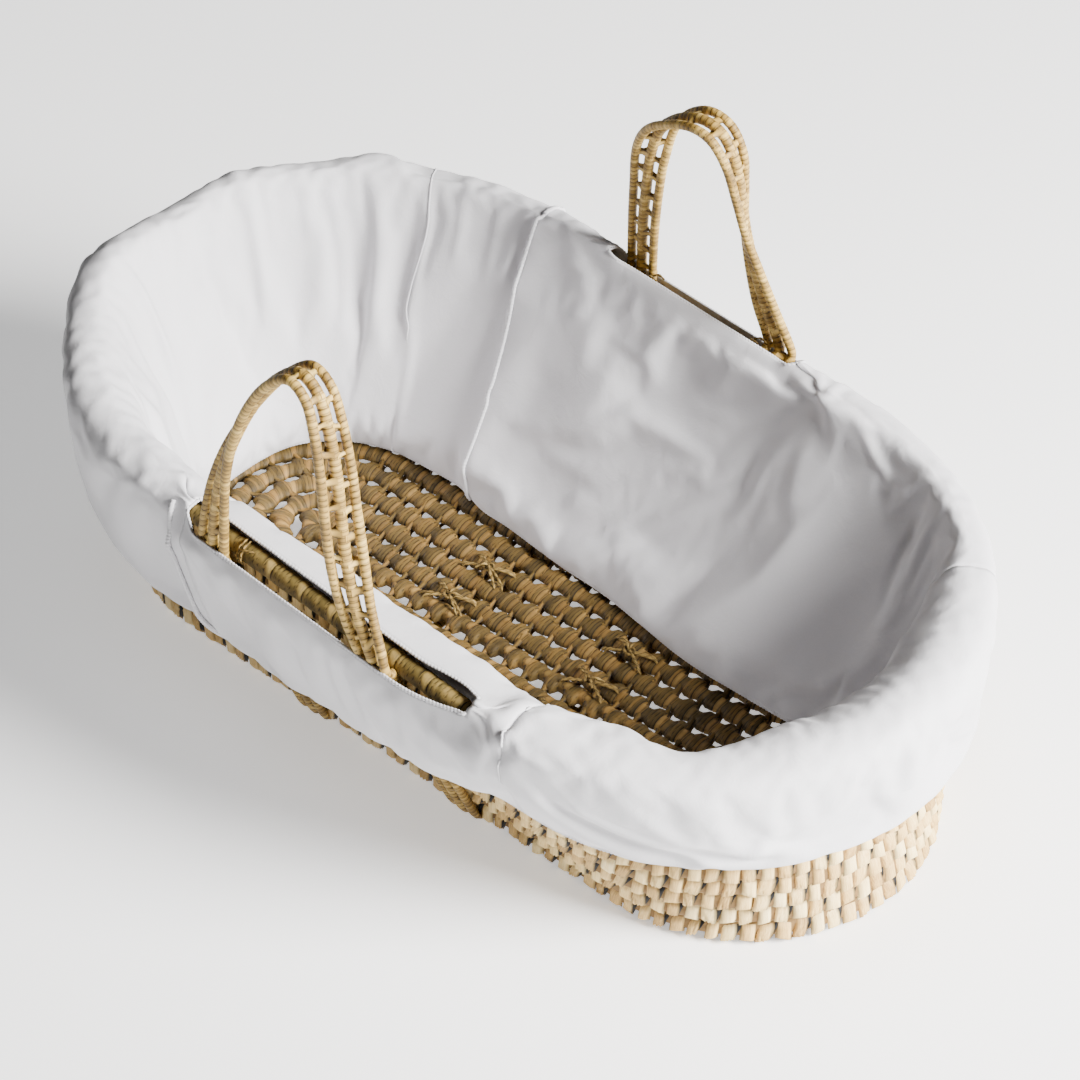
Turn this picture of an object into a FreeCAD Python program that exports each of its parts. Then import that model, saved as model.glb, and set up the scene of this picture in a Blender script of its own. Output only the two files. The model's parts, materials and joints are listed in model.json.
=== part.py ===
import FreeCAD, Part
import math
import os
import Sketcher

# A woven palm-leaf baby basket with a cotton liner and two carrying handles.
# Frame: millimetres, +Z up, +X towards the foot end, -Y the near long side.
# The origin is on the ground under the middle of the base.

os.makedirs("parts", exist_ok=True)
doc = FreeCAD.newDocument("baby_basket")
Vector = FreeCAD.Vector

SIZES = (
    ("base_length", 824, "outside length of the base"),
    ("base_width", 324, "outside width of the base"),
    ("rim_length", 838, "outside length of the rim coil"),
    ("rim_width", 490, "outside width of the rim coil"),
    ("rim_height", 234, "height of the rim coil's centre at mid length"),
    ("head_lift", 40.5, "how much higher the rim coil is at the head end than at mid length"),
    ("rim_coil_size", 18, "diameter of the rim coil"),
    ("wall_thickness", 12, "thickness of a wall course"),
    ("floor_thickness", 18, "thickness of a floor row"),
    ("seam_gap", 0.3, "gap between pieces sewn edge to edge"),
    ("cord_size", 10, "diameter of one of the three cords of a handle strap"),
    ("cord_gap", 2.5, "gap between neighbouring cords of a strap"),
    ("strap_flat", 6, "thickness of a strap pressed flat under the floor"),
    ("strap_gap", 0.6, "gap between a strap and what it passes"),
    ("head_leg", 87, "distance of the head side legs from mid length"),
    ("near_foot_leg", 90, "distance of the near handle's foot side leg from mid length"),
    ("far_foot_leg", 69, "distance of the far handle's foot side leg from mid length"),
    ("near_rise", 221, "height of the near handle's loop above its hinge line"),
    ("far_rise", 209, "height of the far handle's loop above its hinge line"),
    ("near_lean", 4, "inward lean of the near handle at rest, in degrees"),
    ("far_lean", 8, "inward lean of the far handle at rest, in degrees"),
    ("hinge_lift", 7.5, "height of a handle's hinge line above the rim coil's centre"),
    ("hinge_setback", 8.2, "gap along the strap below the hinge line"),
    ("cloth_thickness", 2, "thickness of the liner cloth with its folds"),
    ("cloth_gap", 0.8, "gap between the cloth and the basket"),
    ("inner_hem_side_inset", 48, "distance from the wall's foot to the liner's bottom edge at a side"),
    ("inner_hem_end_inset", 40, "distance from the wall's foot to the liner's bottom edge at an end"),
    ("roll_height", 10, "height of the padded roll over the rim"),
    ("roll_width", 30, "width of the padded roll over the rim"),
    ("hem_height", 92, "height of the skirt's bottom hem above the ground"),
    ("hem_ease", 6.4, "how far the skirt's hem stands off the wall at each end"),
    ("flap_drop", 12.5, "how far a flap's top edge is below the hinge line"),
    ("near_slit_head", 19.5, "how far the near handle slit runs past the head side leg"),
    ("near_slit_foot", 76.5, "how far the near handle slit runs past the foot side leg"),
    ("far_slit_head", 5.5, "how far the far handle slit runs past the head side leg"),
    ("far_slit_foot", 13.5, "how far the far handle slit runs past the foot side leg"),
    ("side_panel_head", 170, "head end of the liner's side panels, from mid length"),
    ("side_panel_foot", 215, "foot end of the liner's side panels, from mid length"),
    ("elastic_size", 3, "diameter of the elastic in the skirt's hem"),
    ("tie_size", 3, "diameter of the leaf ties beside the legs"),
    ("raffia_size", 1.6, "thickness of the raffia stitches on the floor"),
)
COURSES = 10
FLOOR_ROUNDS = 6
TIE_SPACING = 24.0

sizes = doc.addObject("Spreadsheet::Sheet", "Sizes")
for row, (alias, value, meaning) in enumerate(SIZES, start=1):
    sizes.set(f"A{row}", meaning)
    sizes.set(f"B{row}", str(value))
    sizes.setAlias(f"B{row}", alias)
doc.recompute()

nodes = []


def worked_out(expression):
    """The present value of an expression on the sheet, for a sketch's first guess."""
    value = sizes.evalExpression(expression)
    return float(getattr(value, "Value", value))


def size(alias):
    """A driving dimension, for the pieces that are made in code."""
    return float(getattr(sizes, alias))


# Lengths that several pieces share, as expressions on the sheet.
BASE_RADIUS = "(Sizes.base_width - Sizes.wall_thickness) / 2"
BASE_STRAIGHT = "(Sizes.base_length - Sizes.base_width) / 2"
RIM_RADIUS = "(Sizes.rim_width - Sizes.rim_coil_size) / 2"
RIM_STRAIGHT = "(Sizes.rim_length - Sizes.rim_width) / 2"
RIM_TILT = "atan(2 * Sizes.head_lift / (Sizes.rim_length - Sizes.rim_coil_size))"
WALL_FOOT = "(Sizes.strap_flat + Sizes.seam_gap)"
WALL_TOP = "(Sizes.rim_height - Sizes.rim_coil_size / 2 - Sizes.seam_gap)"
COURSE_RISE = f"(({WALL_TOP} - {WALL_FOOT}) / {COURSES})"
FLOOR_PITCH = f"((Sizes.base_width / 2 - Sizes.wall_thickness - Sizes.seam_gap / 2) / {FLOOR_ROUNDS})"
CORD_SPACING = "(Sizes.cord_size + Sizes.cord_gap)"
STRAP_HALF = f"({CORD_SPACING} + Sizes.cord_size / 2)"


def strap_slope(along):
    """How far a strap leans out for each millimetre of height, so that it clears wall and rim."""
    lost = f"({along}) * tan({RIM_TILT})"
    wall = f"({RIM_RADIUS} - {BASE_RADIUS}) / ({WALL_TOP} - {WALL_FOOT} - {lost})"
    coil = f"(Sizes.rim_width - Sizes.base_width) / 2 / (Sizes.rim_height - {WALL_FOOT} - {lost})"
    return f"max({wall}; {coil})"


# Distance from the middle plane to the strap's centre, at the ground and at the hinge line.
MIDDLE_SLOPE = strap_slope("0")
STRAP_OFFSET = f"((Sizes.strap_gap + Sizes.cord_size / 2) / cos(atan({MIDDLE_SLOPE})))"
STRAP_AT_FOOT = f"(Sizes.base_width / 2 + {STRAP_OFFSET} - {WALL_FOOT} * {MIDDLE_SLOPE})"
FOOT_SLOPE = strap_slope(f"Sizes.near_foot_leg + {STRAP_HALF}")
HINGE_HEIGHT = "(Sizes.rim_height + Sizes.hinge_lift)"
HINGE_OUT = f"({STRAP_AT_FOOT} + {HINGE_HEIGHT} * {MIDDLE_SLOPE})"
FLAP_TOP = f"({HINGE_HEIGHT} - Sizes.flap_drop)"
FLAP_RADIUS = f"({HINGE_OUT} + Sizes.cord_size / 2 + Sizes.cloth_gap)"
LINER_TOP = "(Sizes.rim_height + Sizes.rim_coil_size / 2 - Sizes.cloth_gap)"
ELASTIC_RADIUS = (
    f"({STRAP_AT_FOOT} + (Sizes.hem_height + Sizes.elastic_size) * {FOOT_SLOPE}"
    " + Sizes.cord_size / 2 + Sizes.elastic_size / 2 + 2 * Sizes.cloth_gap)"
)
HEM_RADIUS = f"({ELASTIC_RADIUS} + Sizes.elastic_size / 2 + Sizes.cloth_gap)"
# The skirt's slope from the hem up to the rim coil, which it clears.
SKIRT_SLOPE = f"((Sizes.rim_width / 2 - {HEM_RADIUS}) / (Sizes.rim_height - Sizes.hem_height))"
SKIRT_RADIUS = f"({RIM_RADIUS} + (Sizes.rim_coil_size / 2 + Sizes.cloth_gap) / cos(atan({SKIRT_SLOPE})))"
# The outside of the wall at its ends, at the height of the hem. The foot end is the lower one.
HEM_SHARE = f"((Sizes.hem_height - {WALL_FOOT}) / ({WALL_TOP} - Sizes.head_lift - {WALL_FOOT}))"
WALL_END_TOP = "((Sizes.rim_length - Sizes.rim_coil_size + Sizes.wall_thickness) / 2)"
WALL_END = f"(Sizes.base_length / 2 + ({WALL_END_TOP} - Sizes.base_length / 2) * {HEM_SHARE})"
HEM_STRAIGHT = f"({WALL_END} + Sizes.hem_ease - {HEM_RADIUS})"
INNER_RADIUS = "(Sizes.base_width / 2 - Sizes.wall_thickness - Sizes.inner_hem_side_inset)"
INNER_STRAIGHT = (
    "(Sizes.base_length / 2 - Sizes.wall_thickness - Sizes.inner_hem_end_inset"
    f" - {INNER_RADIUS})"
)
FLOOR_TOP = f"({WALL_FOOT} + Sizes.floor_thickness)"
OUTSIDE = "Sizes.rim_length"


def new_body(label):
    """An empty body that is one node of the object."""
    body = doc.addObject("PartDesign::Body", label)
    body.Label = label
    nodes.append(body)
    return body


def turned(body, height, tilt):
    """Lifts a body to a height and turns it about Y by a tilt, which lowers its foot end."""
    body.Placement = FreeCAD.Placement(Vector(0, 0, 1), FreeCAD.Rotation(Vector(0, 1, 0), 1))
    body.setExpression("Placement.Base.z", height)
    body.setExpression("Placement.Rotation.Angle", tilt)


def new_sketch(body, name, role="XY_Plane"):
    """A sketch on one of the body's own origin planes."""
    sketch = body.newObject("Sketcher::SketchObject", f"{body.Name}_{name}")
    plane = [item for item in body.Origin.OriginFeatures if item.Role == role][0]
    sketch.AttachmentSupport = (plane, [""])
    sketch.MapMode = "FlatFace"
    return sketch


def offset_sketch(sketch, height, tilt=None):
    """Moves a sketch along its plane's normal, and turns it about the plane's second axis."""
    axis = FreeCAD.Rotation(Vector(0, 1, 0), 1 if tilt else 0)
    sketch.AttachmentOffset = FreeCAD.Placement(Vector(0, 0, 1), axis)
    sketch.setExpression("AttachmentOffset.Base.z", height)
    if tilt:
        sketch.setExpression("AttachmentOffset.Rotation.Angle", tilt)


def bind(sketch, kind, geometry, expression, name):
    """A named dimension of a sketch that follows an expression."""
    index = sketch.addConstraint(Sketcher.Constraint(kind, *geometry, worked_out(expression)))
    sketch.renameConstraint(index, name)
    sketch.setExpression(f"Constraints.{name}", expression)


def draw_racetrack(sketch, straight, radius, name):
    """A closed outline of two straight sides and two half circles, centred on the origin."""
    half = worked_out(straight)
    bend = worked_out(radius)
    up = Vector(0, 0, 1)
    right = Part.Circle(Vector(half, 0, 0), up, bend)
    left = Part.Circle(Vector(-half, 0, 0), up, bend)
    far_side = sketch.addGeometry(Part.LineSegment(Vector(-half, bend, 0), Vector(half, bend, 0)))
    foot_end = sketch.addGeometry(Part.ArcOfCircle(right, -math.pi / 2, math.pi / 2))
    near_side = sketch.addGeometry(Part.LineSegment(Vector(half, -bend, 0), Vector(-half, -bend, 0)))
    head_end = sketch.addGeometry(Part.ArcOfCircle(left, math.pi / 2, 3 * math.pi / 2))
    for join in ((far_side, 2, foot_end, 2), (foot_end, 1, near_side, 1),
                 (near_side, 2, head_end, 2), (head_end, 1, far_side, 1)):
        sketch.addConstraint(Sketcher.Constraint("Tangent", *join))
    sketch.addConstraint(Sketcher.Constraint("PointOnObject", foot_end, 3, -1))
    sketch.addConstraint(Sketcher.Constraint("PointOnObject", head_end, 3, -1))
    sketch.addConstraint(Sketcher.Constraint("Equal", foot_end, head_end))
    bind(sketch, "Radius", (foot_end,), radius, f"{name}_radius")
    bind(sketch, "DistanceX", (-1, 1, foot_end, 3), straight, f"{name}_foot")
    bind(sketch, "DistanceX", (head_end, 3, -1, 1), straight, f"{name}_head")


def draw_polygon(sketch, corners, name):
    """A closed outline of straight lines whose corners follow pairs of expressions."""
    points = [Vector(worked_out(across), worked_out(along), 0) for across, along in corners]
    lines = []
    for start, end in zip(points, points[1:] + points[:1]):
        lines.append(sketch.addGeometry(Part.LineSegment(start, end)))
    for line, following in zip(lines, lines[1:] + lines[:1]):
        sketch.addConstraint(Sketcher.Constraint("Coincident", line, 2, following, 1))
    for number, (line, (across, along)) in enumerate(zip(lines, corners)):
        bind(sketch, "DistanceX", (-1, 1, line, 1), across, f"{name}_x{number}")
        bind(sketch, "DistanceY", (-1, 1, line, 1), along, f"{name}_y{number}")


def pad(body, sketch, length, both_ways=False):
    """Pads a sketch; both_ways pads half the length to each side."""
    feature = body.newObject("PartDesign::Pad", f"{body.Name}_pad")
    feature.Profile = sketch
    if both_ways:
        feature.SideType = "Symmetric"
    feature.setExpression("Length", length)
    return feature


def keep_inside(body, corners):
    """Cuts away all of a body that is outside a polygon seen from above."""
    sketch = new_sketch(body, "keep")
    reach = OUTSIDE
    frame = ((f"-{reach}", f"-{reach}"), (reach, f"-{reach}"), (reach, reach), (f"-{reach}", reach))
    draw_polygon(sketch, frame, "frame")
    draw_polygon(sketch, corners, "piece")
    feature = body.newObject("PartDesign::Pocket", f"{body.Name}_trim")
    feature.Profile = sketch
    feature.SideType = "Symmetric"
    feature.setExpression("Length", f"2 * {reach}")


def box_corners(low_x, high_x, low_y, high_y):
    return ((low_x, low_y), (high_x, low_y), (high_x, high_y), (low_x, high_y))


# ---- Floor: rows of leaf-wrapped coil, worked outwards from a doubled middle row ----

def make_floor_round(number):
    body = new_body("floor_middle_rows" if number == 0 else f"floor_round_{number}")
    body.Placement = FreeCAD.Placement(Vector(0, 0, 1), FreeCAD.Rotation())
    body.setExpression("Placement.Base.z", WALL_FOOT)
    sketch = new_sketch(body, "outline")
    outer = f"{number + 1} * {FLOOR_PITCH} - Sizes.seam_gap / 2"
    draw_racetrack(sketch, BASE_STRAIGHT, outer, "outer")
    if number:
        draw_racetrack(sketch, BASE_STRAIGHT, f"{number} * {FLOOR_PITCH} + Sizes.seam_gap / 2", "inner")
    pad(body, sketch, "Sizes.floor_thickness")


for number in range(FLOOR_ROUNDS):
    make_floor_round(number)


# ---- Wall: courses that lean out and rise towards the head end ----

def make_wall_course(number):
    body = new_body(f"wall_course_{number + 1:02d}")
    share = f"{number} / {COURSES}"
    turned(body, f"{WALL_FOOT} + {number} * {COURSE_RISE}", f"{share} * {RIM_TILT}")
    radius = f"{BASE_RADIUS} + {share} * ({RIM_RADIUS} - {BASE_RADIUS})"
    straight = f"{BASE_STRAIGHT} + {share} * ({RIM_STRAIGHT} - {BASE_STRAIGHT})"
    outline = new_sketch(body, "outline")
    draw_racetrack(outline, straight, f"{radius} + Sizes.wall_thickness / 2", "outer")
    draw_racetrack(outline, straight, f"{radius} - Sizes.wall_thickness / 2", "inner")
    reach = "Sizes.rim_length / 2"
    slope = f"tan({RIM_TILT} / {COURSES})"
    head_rise = f"{COURSE_RISE} - Sizes.seam_gap + {reach} * {slope}"
    foot_rise = f"{COURSE_RISE} - Sizes.seam_gap - {reach} * {slope}"
    pad(body, outline, head_rise)
    doc.recompute()
    wedge = new_sketch(body, "wedge", "XZ_Plane")
    above = f"2 * {COURSE_RISE}"
    draw_polygon(wedge, ((f"-{reach}", head_rise), (reach, foot_rise), (reach, above), (f"-{reach}", above)), "top")
    cut = body.newObject("PartDesign::Pocket", f"{body.Name}_wedge_cut")
    cut.Profile = wedge
    cut.SideType = "Symmetric"
    cut.setExpression("Length", "2 * Sizes.rim_width")


for number in range(COURSES):
    make_wall_course(number)


# ---- Round coils that follow a racetrack: the rim and the elastic in the hem ----

def make_coil(label, height, tilt, straight, radius, thickness):
    body = new_body(label)
    turned(body, height, tilt)
    path = new_sketch(body, "path")
    draw_racetrack(path, straight, radius, "path")
    section = new_sketch(body, "section", "YZ_Plane")
    offset_sketch(section, f"-({straight})")
    circle = section.addGeometry(Part.Circle(Vector(worked_out(radius), 0, 0), Vector(0, 0, 1),
                                             worked_out(thickness) / 2))
    section.addConstraint(Sketcher.Constraint("PointOnObject", circle, 3, -1))
    bind(section, "DistanceX", (-1, 1, circle, 3), radius, "reach")
    bind(section, "Radius", (circle,), f"{thickness} / 2", "coil")
    pipe = body.newObject("PartDesign::AdditivePipe", f"{label}_pipe")
    pipe.Profile = section
    pipe.Spine = (path, ["Edge1", "Edge2", "Edge3", "Edge4"])
    return body


make_coil("rim_coil", "Sizes.rim_height", RIM_TILT, RIM_STRAIGHT, RIM_RADIUS, "Sizes.rim_coil_size")
make_coil("hem_elastic", "Sizes.hem_height + Sizes.elastic_size", "0", HEM_STRAIGHT, ELASTIC_RADIUS,
          "Sizes.elastic_size")


# ---- Straps: three cords side by side, down the wall and flat under the floor ----

def make_strap_leg(label, side, along):
    """The part of a strap that lies against the wall, from the ground to the hinge line."""
    body = new_body(label)
    slope = strap_slope(f"{along} + {STRAP_HALF}")
    lean = f"atan({slope})"
    low_end = "(Sizes.strap_flat / 2)"
    body.Placement = FreeCAD.Placement(Vector(1, 1, 1), FreeCAD.Rotation(Vector(-side, 0, 0), 1))
    body.setExpression("Placement.Base.x", along)
    body.setExpression("Placement.Base.y", f"{side} * ({STRAP_AT_FOOT} + {low_end} * {slope})")
    body.setExpression("Placement.Base.z", low_end)
    body.setExpression("Placement.Rotation.Angle", lean)
    sketch = new_sketch(body, "cords")
    for place, name in ((-1, "head_cord"), (0, "middle_cord"), (1, "foot_cord")):
        across = f"{place} * {CORD_SPACING}"
        circle = sketch.addGeometry(Part.Circle(Vector(worked_out(across), 0, 0), Vector(0, 0, 1),
                                                size("cord_size") / 2))
        sketch.addConstraint(Sketcher.Constraint("PointOnObject", circle, 3, -1))
        bind(sketch, "DistanceX", (-1, 1, circle, 3), across, f"{name}_place")
        bind(sketch, "Radius", (circle,), "Sizes.cord_size / 2", f"{name}_radius")
    hinge_drop = f"({along}) * tan({RIM_TILT})"
    length = f"({HINGE_HEIGHT} - {hinge_drop} - {low_end}) / cos({lean}) - Sizes.hinge_setback"
    pad(body, sketch, length)
    return body


def make_strap_under(label, near_along, far_along):
    """The flat part of a strap that crosses under the floor; the basket stands on it."""
    body = new_body(label)
    span = f"(2 * {STRAP_AT_FOOT})"
    body.Placement = FreeCAD.Placement(Vector(1, 0, 0), FreeCAD.Rotation(Vector(0, 0, 1), 1))
    body.setExpression("Placement.Base.x", f"({near_along} + {far_along}) / 2")
    body.setExpression("Placement.Rotation.Angle", f"atan(({near_along} - {far_along}) / {span})")
    sketch = new_sketch(body, "section", "XZ_Plane")
    half = f"({CORD_SPACING} - Sizes.strap_gap) / 2"
    for place, name in ((-1, "head_cord"), (0, "middle_cord"), (1, "foot_cord")):
        middle = f"{place} * {CORD_SPACING}"
        corners = box_corners(f"{middle} - {half}", f"{middle} + {half}", "0", "Sizes.strap_flat")
        draw_polygon(sketch, corners, name)
    reach = f"{span} - Sizes.cord_size / cos(atan({MIDDLE_SLOPE})) - 4 * Sizes.strap_gap"
    pad(body, sketch, reach, both_ways=True)
    return body


HEAD_LEG = "-Sizes.head_leg"
make_strap_leg("head_strap_near_leg", -1, HEAD_LEG)
make_strap_leg("head_strap_far_leg", 1, HEAD_LEG)
make_strap_under("head_strap_under_floor", HEAD_LEG, HEAD_LEG)
make_strap_leg("foot_strap_near_leg", -1, "Sizes.near_foot_leg")
make_strap_leg("foot_strap_far_leg", 1, "Sizes.far_foot_leg")
make_strap_under("foot_strap_under_floor", "Sizes.near_foot_leg", "Sizes.far_foot_leg")


# ---- Handles: the same three cords above the hinge line, twisting over a pointed loop ----

# The loop of each handle, from the head side leg to the foot side leg. Each point holds
# its place along the span (-1 head leg, +1 foot leg), its share of the rise, and the
# strap's twist in degrees: 0 lies flat against the wall, 90 faces up.
NEAR_LOOP = (
    (-1.00, 0.00, 0), (-0.98, 0.20, 15), (-0.90, 0.40, 40), (-0.74, 0.60, 64), (-0.55, 0.77, 80),
    (-0.33, 0.91, 88), (-0.08, 1.00, 90), (0.14, 0.965, 88), (0.28, 0.85, 82), (0.40, 0.69, 74),
    (0.50, 0.51, 62), (0.61, 0.34, 44), (0.76, 0.17, 20), (1.00, 0.00, 0),
)
FAR_LOOP = (
    (-1.00, 0.00, 0), (-0.97, 0.22, 2), (-0.91, 0.44, 8), (-0.84, 0.64, 26), (-0.69, 0.81, 56),
    (-0.42, 0.93, 80), (-0.10, 1.00, 90), (0.18, 0.985, 88), (0.36, 0.88, 80), (0.44, 0.72, 64),
    (0.51, 0.54, 44), (0.64, 0.36, 24), (0.80, 0.18, 8), (1.00, 0.00, 0),
)


class Loop:
    """The middle line of a handle strap in its own leaning plane, and its twist."""

    def __init__(self, side, foot_leg, rise, lean, shape):
        tilt = math.radians(worked_out(RIM_TILT))
        angle = math.radians(lean)
        self.hinge = Vector(math.cos(tilt), 0, -math.sin(tilt))
        upright = Vector(0, -side * math.sin(angle), math.cos(angle))
        upright = upright - self.hinge * upright.dot(self.hinge)
        self.upright = upright.normalize()
        self.inward = self.hinge.cross(self.upright) * side
        self.root = Vector(0, side * worked_out(HINGE_OUT), worked_out(HINGE_HEIGHT))
        head = -size("head_leg") / math.cos(tilt)
        foot = foot_leg / math.cos(tilt)
        middle = (head + foot) / 2
        half = (foot - head) / 2
        self.points = [(middle + half * along, rise * up, twist) for along, up, twist in shape]

    def at(self, number, offset):
        """A point of the strap, offset across its width from its middle line."""
        along, up, twist = self.points[number]
        before = self.points[max(number - 1, 0)]
        after = self.points[min(number + 1, len(self.points) - 1)]
        run = Vector(after[0] - before[0], after[1] - before[1], 0).normalize()
        if number in (0, len(self.points) - 1):
            run = Vector(0, 1 if number == 0 else -1, 0)
        turn = math.radians(twist)
        across = self.hinge * (-math.cos(turn) * run.y) + self.upright * (math.cos(turn) * run.x)
        across = across + self.inward * math.sin(turn)
        return self.root + self.hinge * along + self.upright * up + across * offset

    def line(self, offset):
        return [self.at(number, offset) for number in range(len(self.points))]


def rounded_path(points):
    """Straight runs joined by tangent arcs, each as large as its two runs allow."""
    edges = []
    last = points[0]
    for before, corner, after in zip(points, points[1:], points[2:]):
        incoming = (corner - before).normalize()
        outgoing = (after - corner).normalize()
        turn = math.acos(max(-1.0, min(1.0, incoming.dot(outgoing))))
        shorter = min((corner - before).Length, (after - corner).Length)
        tangent = 0.45 * shorter
        radius = tangent / math.tan(turn / 2)
        start = corner - incoming * tangent
        end = corner + outgoing * tangent
        bisector = (outgoing - incoming).normalize()
        centre = corner + bisector * (radius / math.cos(turn / 2))
        middle = centre - bisector * radius
        edges.append(Part.LineSegment(last, start).toShape())
        edges.append(Part.Arc(start, middle, end).toShape())
        last = end
    edges.append(Part.LineSegment(last, points[-1]).toShape())
    return Part.Wire(edges)


def tube(points, radius):
    """A round cord along a rounded path."""
    path = rounded_path(points)
    start = points[0]
    direction = (points[1] - start).normalize()
    ring = Part.Wire(Part.makeCircle(radius, start, direction))
    return path.makePipeShell([ring], True, False)


def new_feature(label, shape):
    feature = doc.addObject("Part::Feature", label)
    feature.Label = label
    feature.Shape = shape
    feature.Placement = FreeCAD.Placement()
    nodes.append(feature)
    return feature


def cord_ties(loop):
    """Short leaf ties that bridge the gaps between the three cords of a strap."""
    ties = []
    middle_line = rounded_path(loop.line(0))
    count = int(middle_line.Length / TIE_SPACING)
    for place in (-1, 1):
        side_line = rounded_path(loop.line(place * worked_out(CORD_SPACING)))
        for station in middle_line.discretize(Number=count + 1)[1:-1]:
            nearest = side_line.distToShape(Part.Vertex(station))[1][0][0]
            across = nearest - station
            length = across.Length - size("cord_size") - 2 * size("seam_gap")
            across = across.normalize()
            start = station + across * (size("cord_size") / 2 + size("seam_gap"))
            ties.append(Part.makeCylinder(size("tie_size") / 2, length, start, across))
    return Part.makeCompound(ties)


def make_handle(name, loop):
    cords = (("outer", 1), ("middle", 0), ("inner", -1))
    for cord, place in cords:
        line = loop.line(place * worked_out(CORD_SPACING))
        new_feature(f"{name}_handle_{cord}_cord", tube(line, size("cord_size") / 2))
    new_feature(f"{name}_handle_ties", cord_ties(loop))


make_handle("near", Loop(-1, size("near_foot_leg"), size("near_rise"), size("near_lean"), NEAR_LOOP))
make_handle("far", Loop(1, size("far_foot_leg"), size("far_rise"), size("far_lean"), FAR_LOOP))


# ---- Ties: leaf strips round the rim coil beside each leg, raffia stitches on the floor ----

def make_rim_ties():
    """Open rings over the top of the rim coil, one beside each leg, outside the loop."""
    tilt = math.radians(worked_out(RIM_TILT))
    along_rim = Vector(math.cos(tilt), 0, -math.sin(tilt))
    thickness = size("tie_size") / 2
    ring = size("rim_coil_size") / 2 + size("seam_gap") + thickness
    beside = worked_out(CORD_SPACING) + size("cord_size") / 2 + size("tie_size")
    sweep = 110
    ties = []
    legs = ((-1, -size("head_leg")), (-1, size("near_foot_leg")), (1, -size("head_leg")), (1, size("far_foot_leg")))
    for side, leg in legs:
        along = leg + math.copysign(beside, leg)
        centre = Vector(along, side * worked_out(RIM_RADIUS), size("rim_height") - along * math.tan(tilt))
        start = centre + Vector(0, side * ring, 0)
        face = Part.Face(Part.Wire(Part.makeCircle(thickness, start, Vector(0, 0, 1))))
        ties.append(face.revolve(centre, along_rim * side, sweep))
    return Part.makeCompound(ties)


def make_floor_ties():
    """Crossed raffia stitches that hold the straps up against the floor."""
    thickness = size("raffia_size")
    height = worked_out(FLOOR_TOP) + size("seam_gap")
    length = 1.3 * worked_out(FLOOR_PITCH)
    width = 2 * thickness
    middle_foot = (size("near_foot_leg") + size("far_foot_leg")) / 2
    stitches = []
    for along in (-size("head_leg"), middle_foot):
        for across in (-2, 0, 2):
            centre = Vector(along, across * worked_out(FLOOR_PITCH), height)
            strips = []
            for angle in (40, -40):
                strip = Part.makeBox(length, width, thickness, Vector(-length / 2, -width / 2, 0))
                strip.Placement = FreeCAD.Placement(centre, FreeCAD.Rotation(Vector(0, 0, 1), angle))
                strips.append(strip)
            stitches.append(strips[0].fuse(strips[1]).removeSplitter())
    return Part.makeCompound(stitches)


new_feature("rim_ties", make_rim_ties())
new_feature("floor_ties", make_floor_ties())


# ---- Liner: cotton panels inside, a padded roll over the rim, a skirt outside ----

def make_cloth_shell(label, low, high, corners):
    """A sloping cloth wall between a low and a high racetrack, cut to one panel.

    low and high each hold the height, the tilt, the half straight and the outside radius."""
    body = new_body(label)
    for loft_type, inset, name in (("PartDesign::AdditiveLoft", "0", "outside"),
                                   ("PartDesign::SubtractiveLoft", "Sizes.cloth_thickness", "inside")):
        rings = []
        for place, (height, tilt, straight, radius) in (("low", low), ("high", high)):
            ring = new_sketch(body, f"{name}_{place}")
            offset_sketch(ring, height, tilt)
            draw_racetrack(ring, straight, f"{radius} - {inset}", "ring")
            rings.append(ring)
        loft = body.newObject(loft_type, f"{label}_{name}")
        loft.Profile = rings[0]
        loft.Sections = [rings[1]]
        loft.Ruled = True
        doc.recompute()
    keep_inside(body, corners)


FAR_OUT = "Sizes.rim_width"
SEAM = "Sizes.seam_gap"
HEAD_REACH = "-Sizes.rim_length * 0.9"
FOOT_REACH = "Sizes.rim_length * 0.9"
inner_low = (f"{FLOOR_TOP} + Sizes.cloth_gap + 2 * Sizes.raffia_size", None, INNER_STRAIGHT, INNER_RADIUS)
inner_high = (LINER_TOP, RIM_TILT, RIM_STRAIGHT, f"({RIM_RADIUS} - Sizes.rim_coil_size / 2 - Sizes.cloth_gap)")
head_edge = "-Sizes.side_panel_head"
foot_edge = "Sizes.side_panel_foot"
make_cloth_shell("liner_head_panel", inner_low, inner_high,
                 box_corners(HEAD_REACH, f"{head_edge} - {SEAM}", f"-{FAR_OUT}", FAR_OUT))
make_cloth_shell("liner_foot_panel", inner_low, inner_high,
                 box_corners(f"{foot_edge} + {SEAM}", FOOT_REACH, f"-{FAR_OUT}", FAR_OUT))
make_cloth_shell("liner_near_panel", inner_low, inner_high, box_corners(head_edge, foot_edge, f"-{FAR_OUT}", "0"))
make_cloth_shell("liner_far_panel", inner_low, inner_high, box_corners(head_edge, foot_edge, "0", FAR_OUT))

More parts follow.
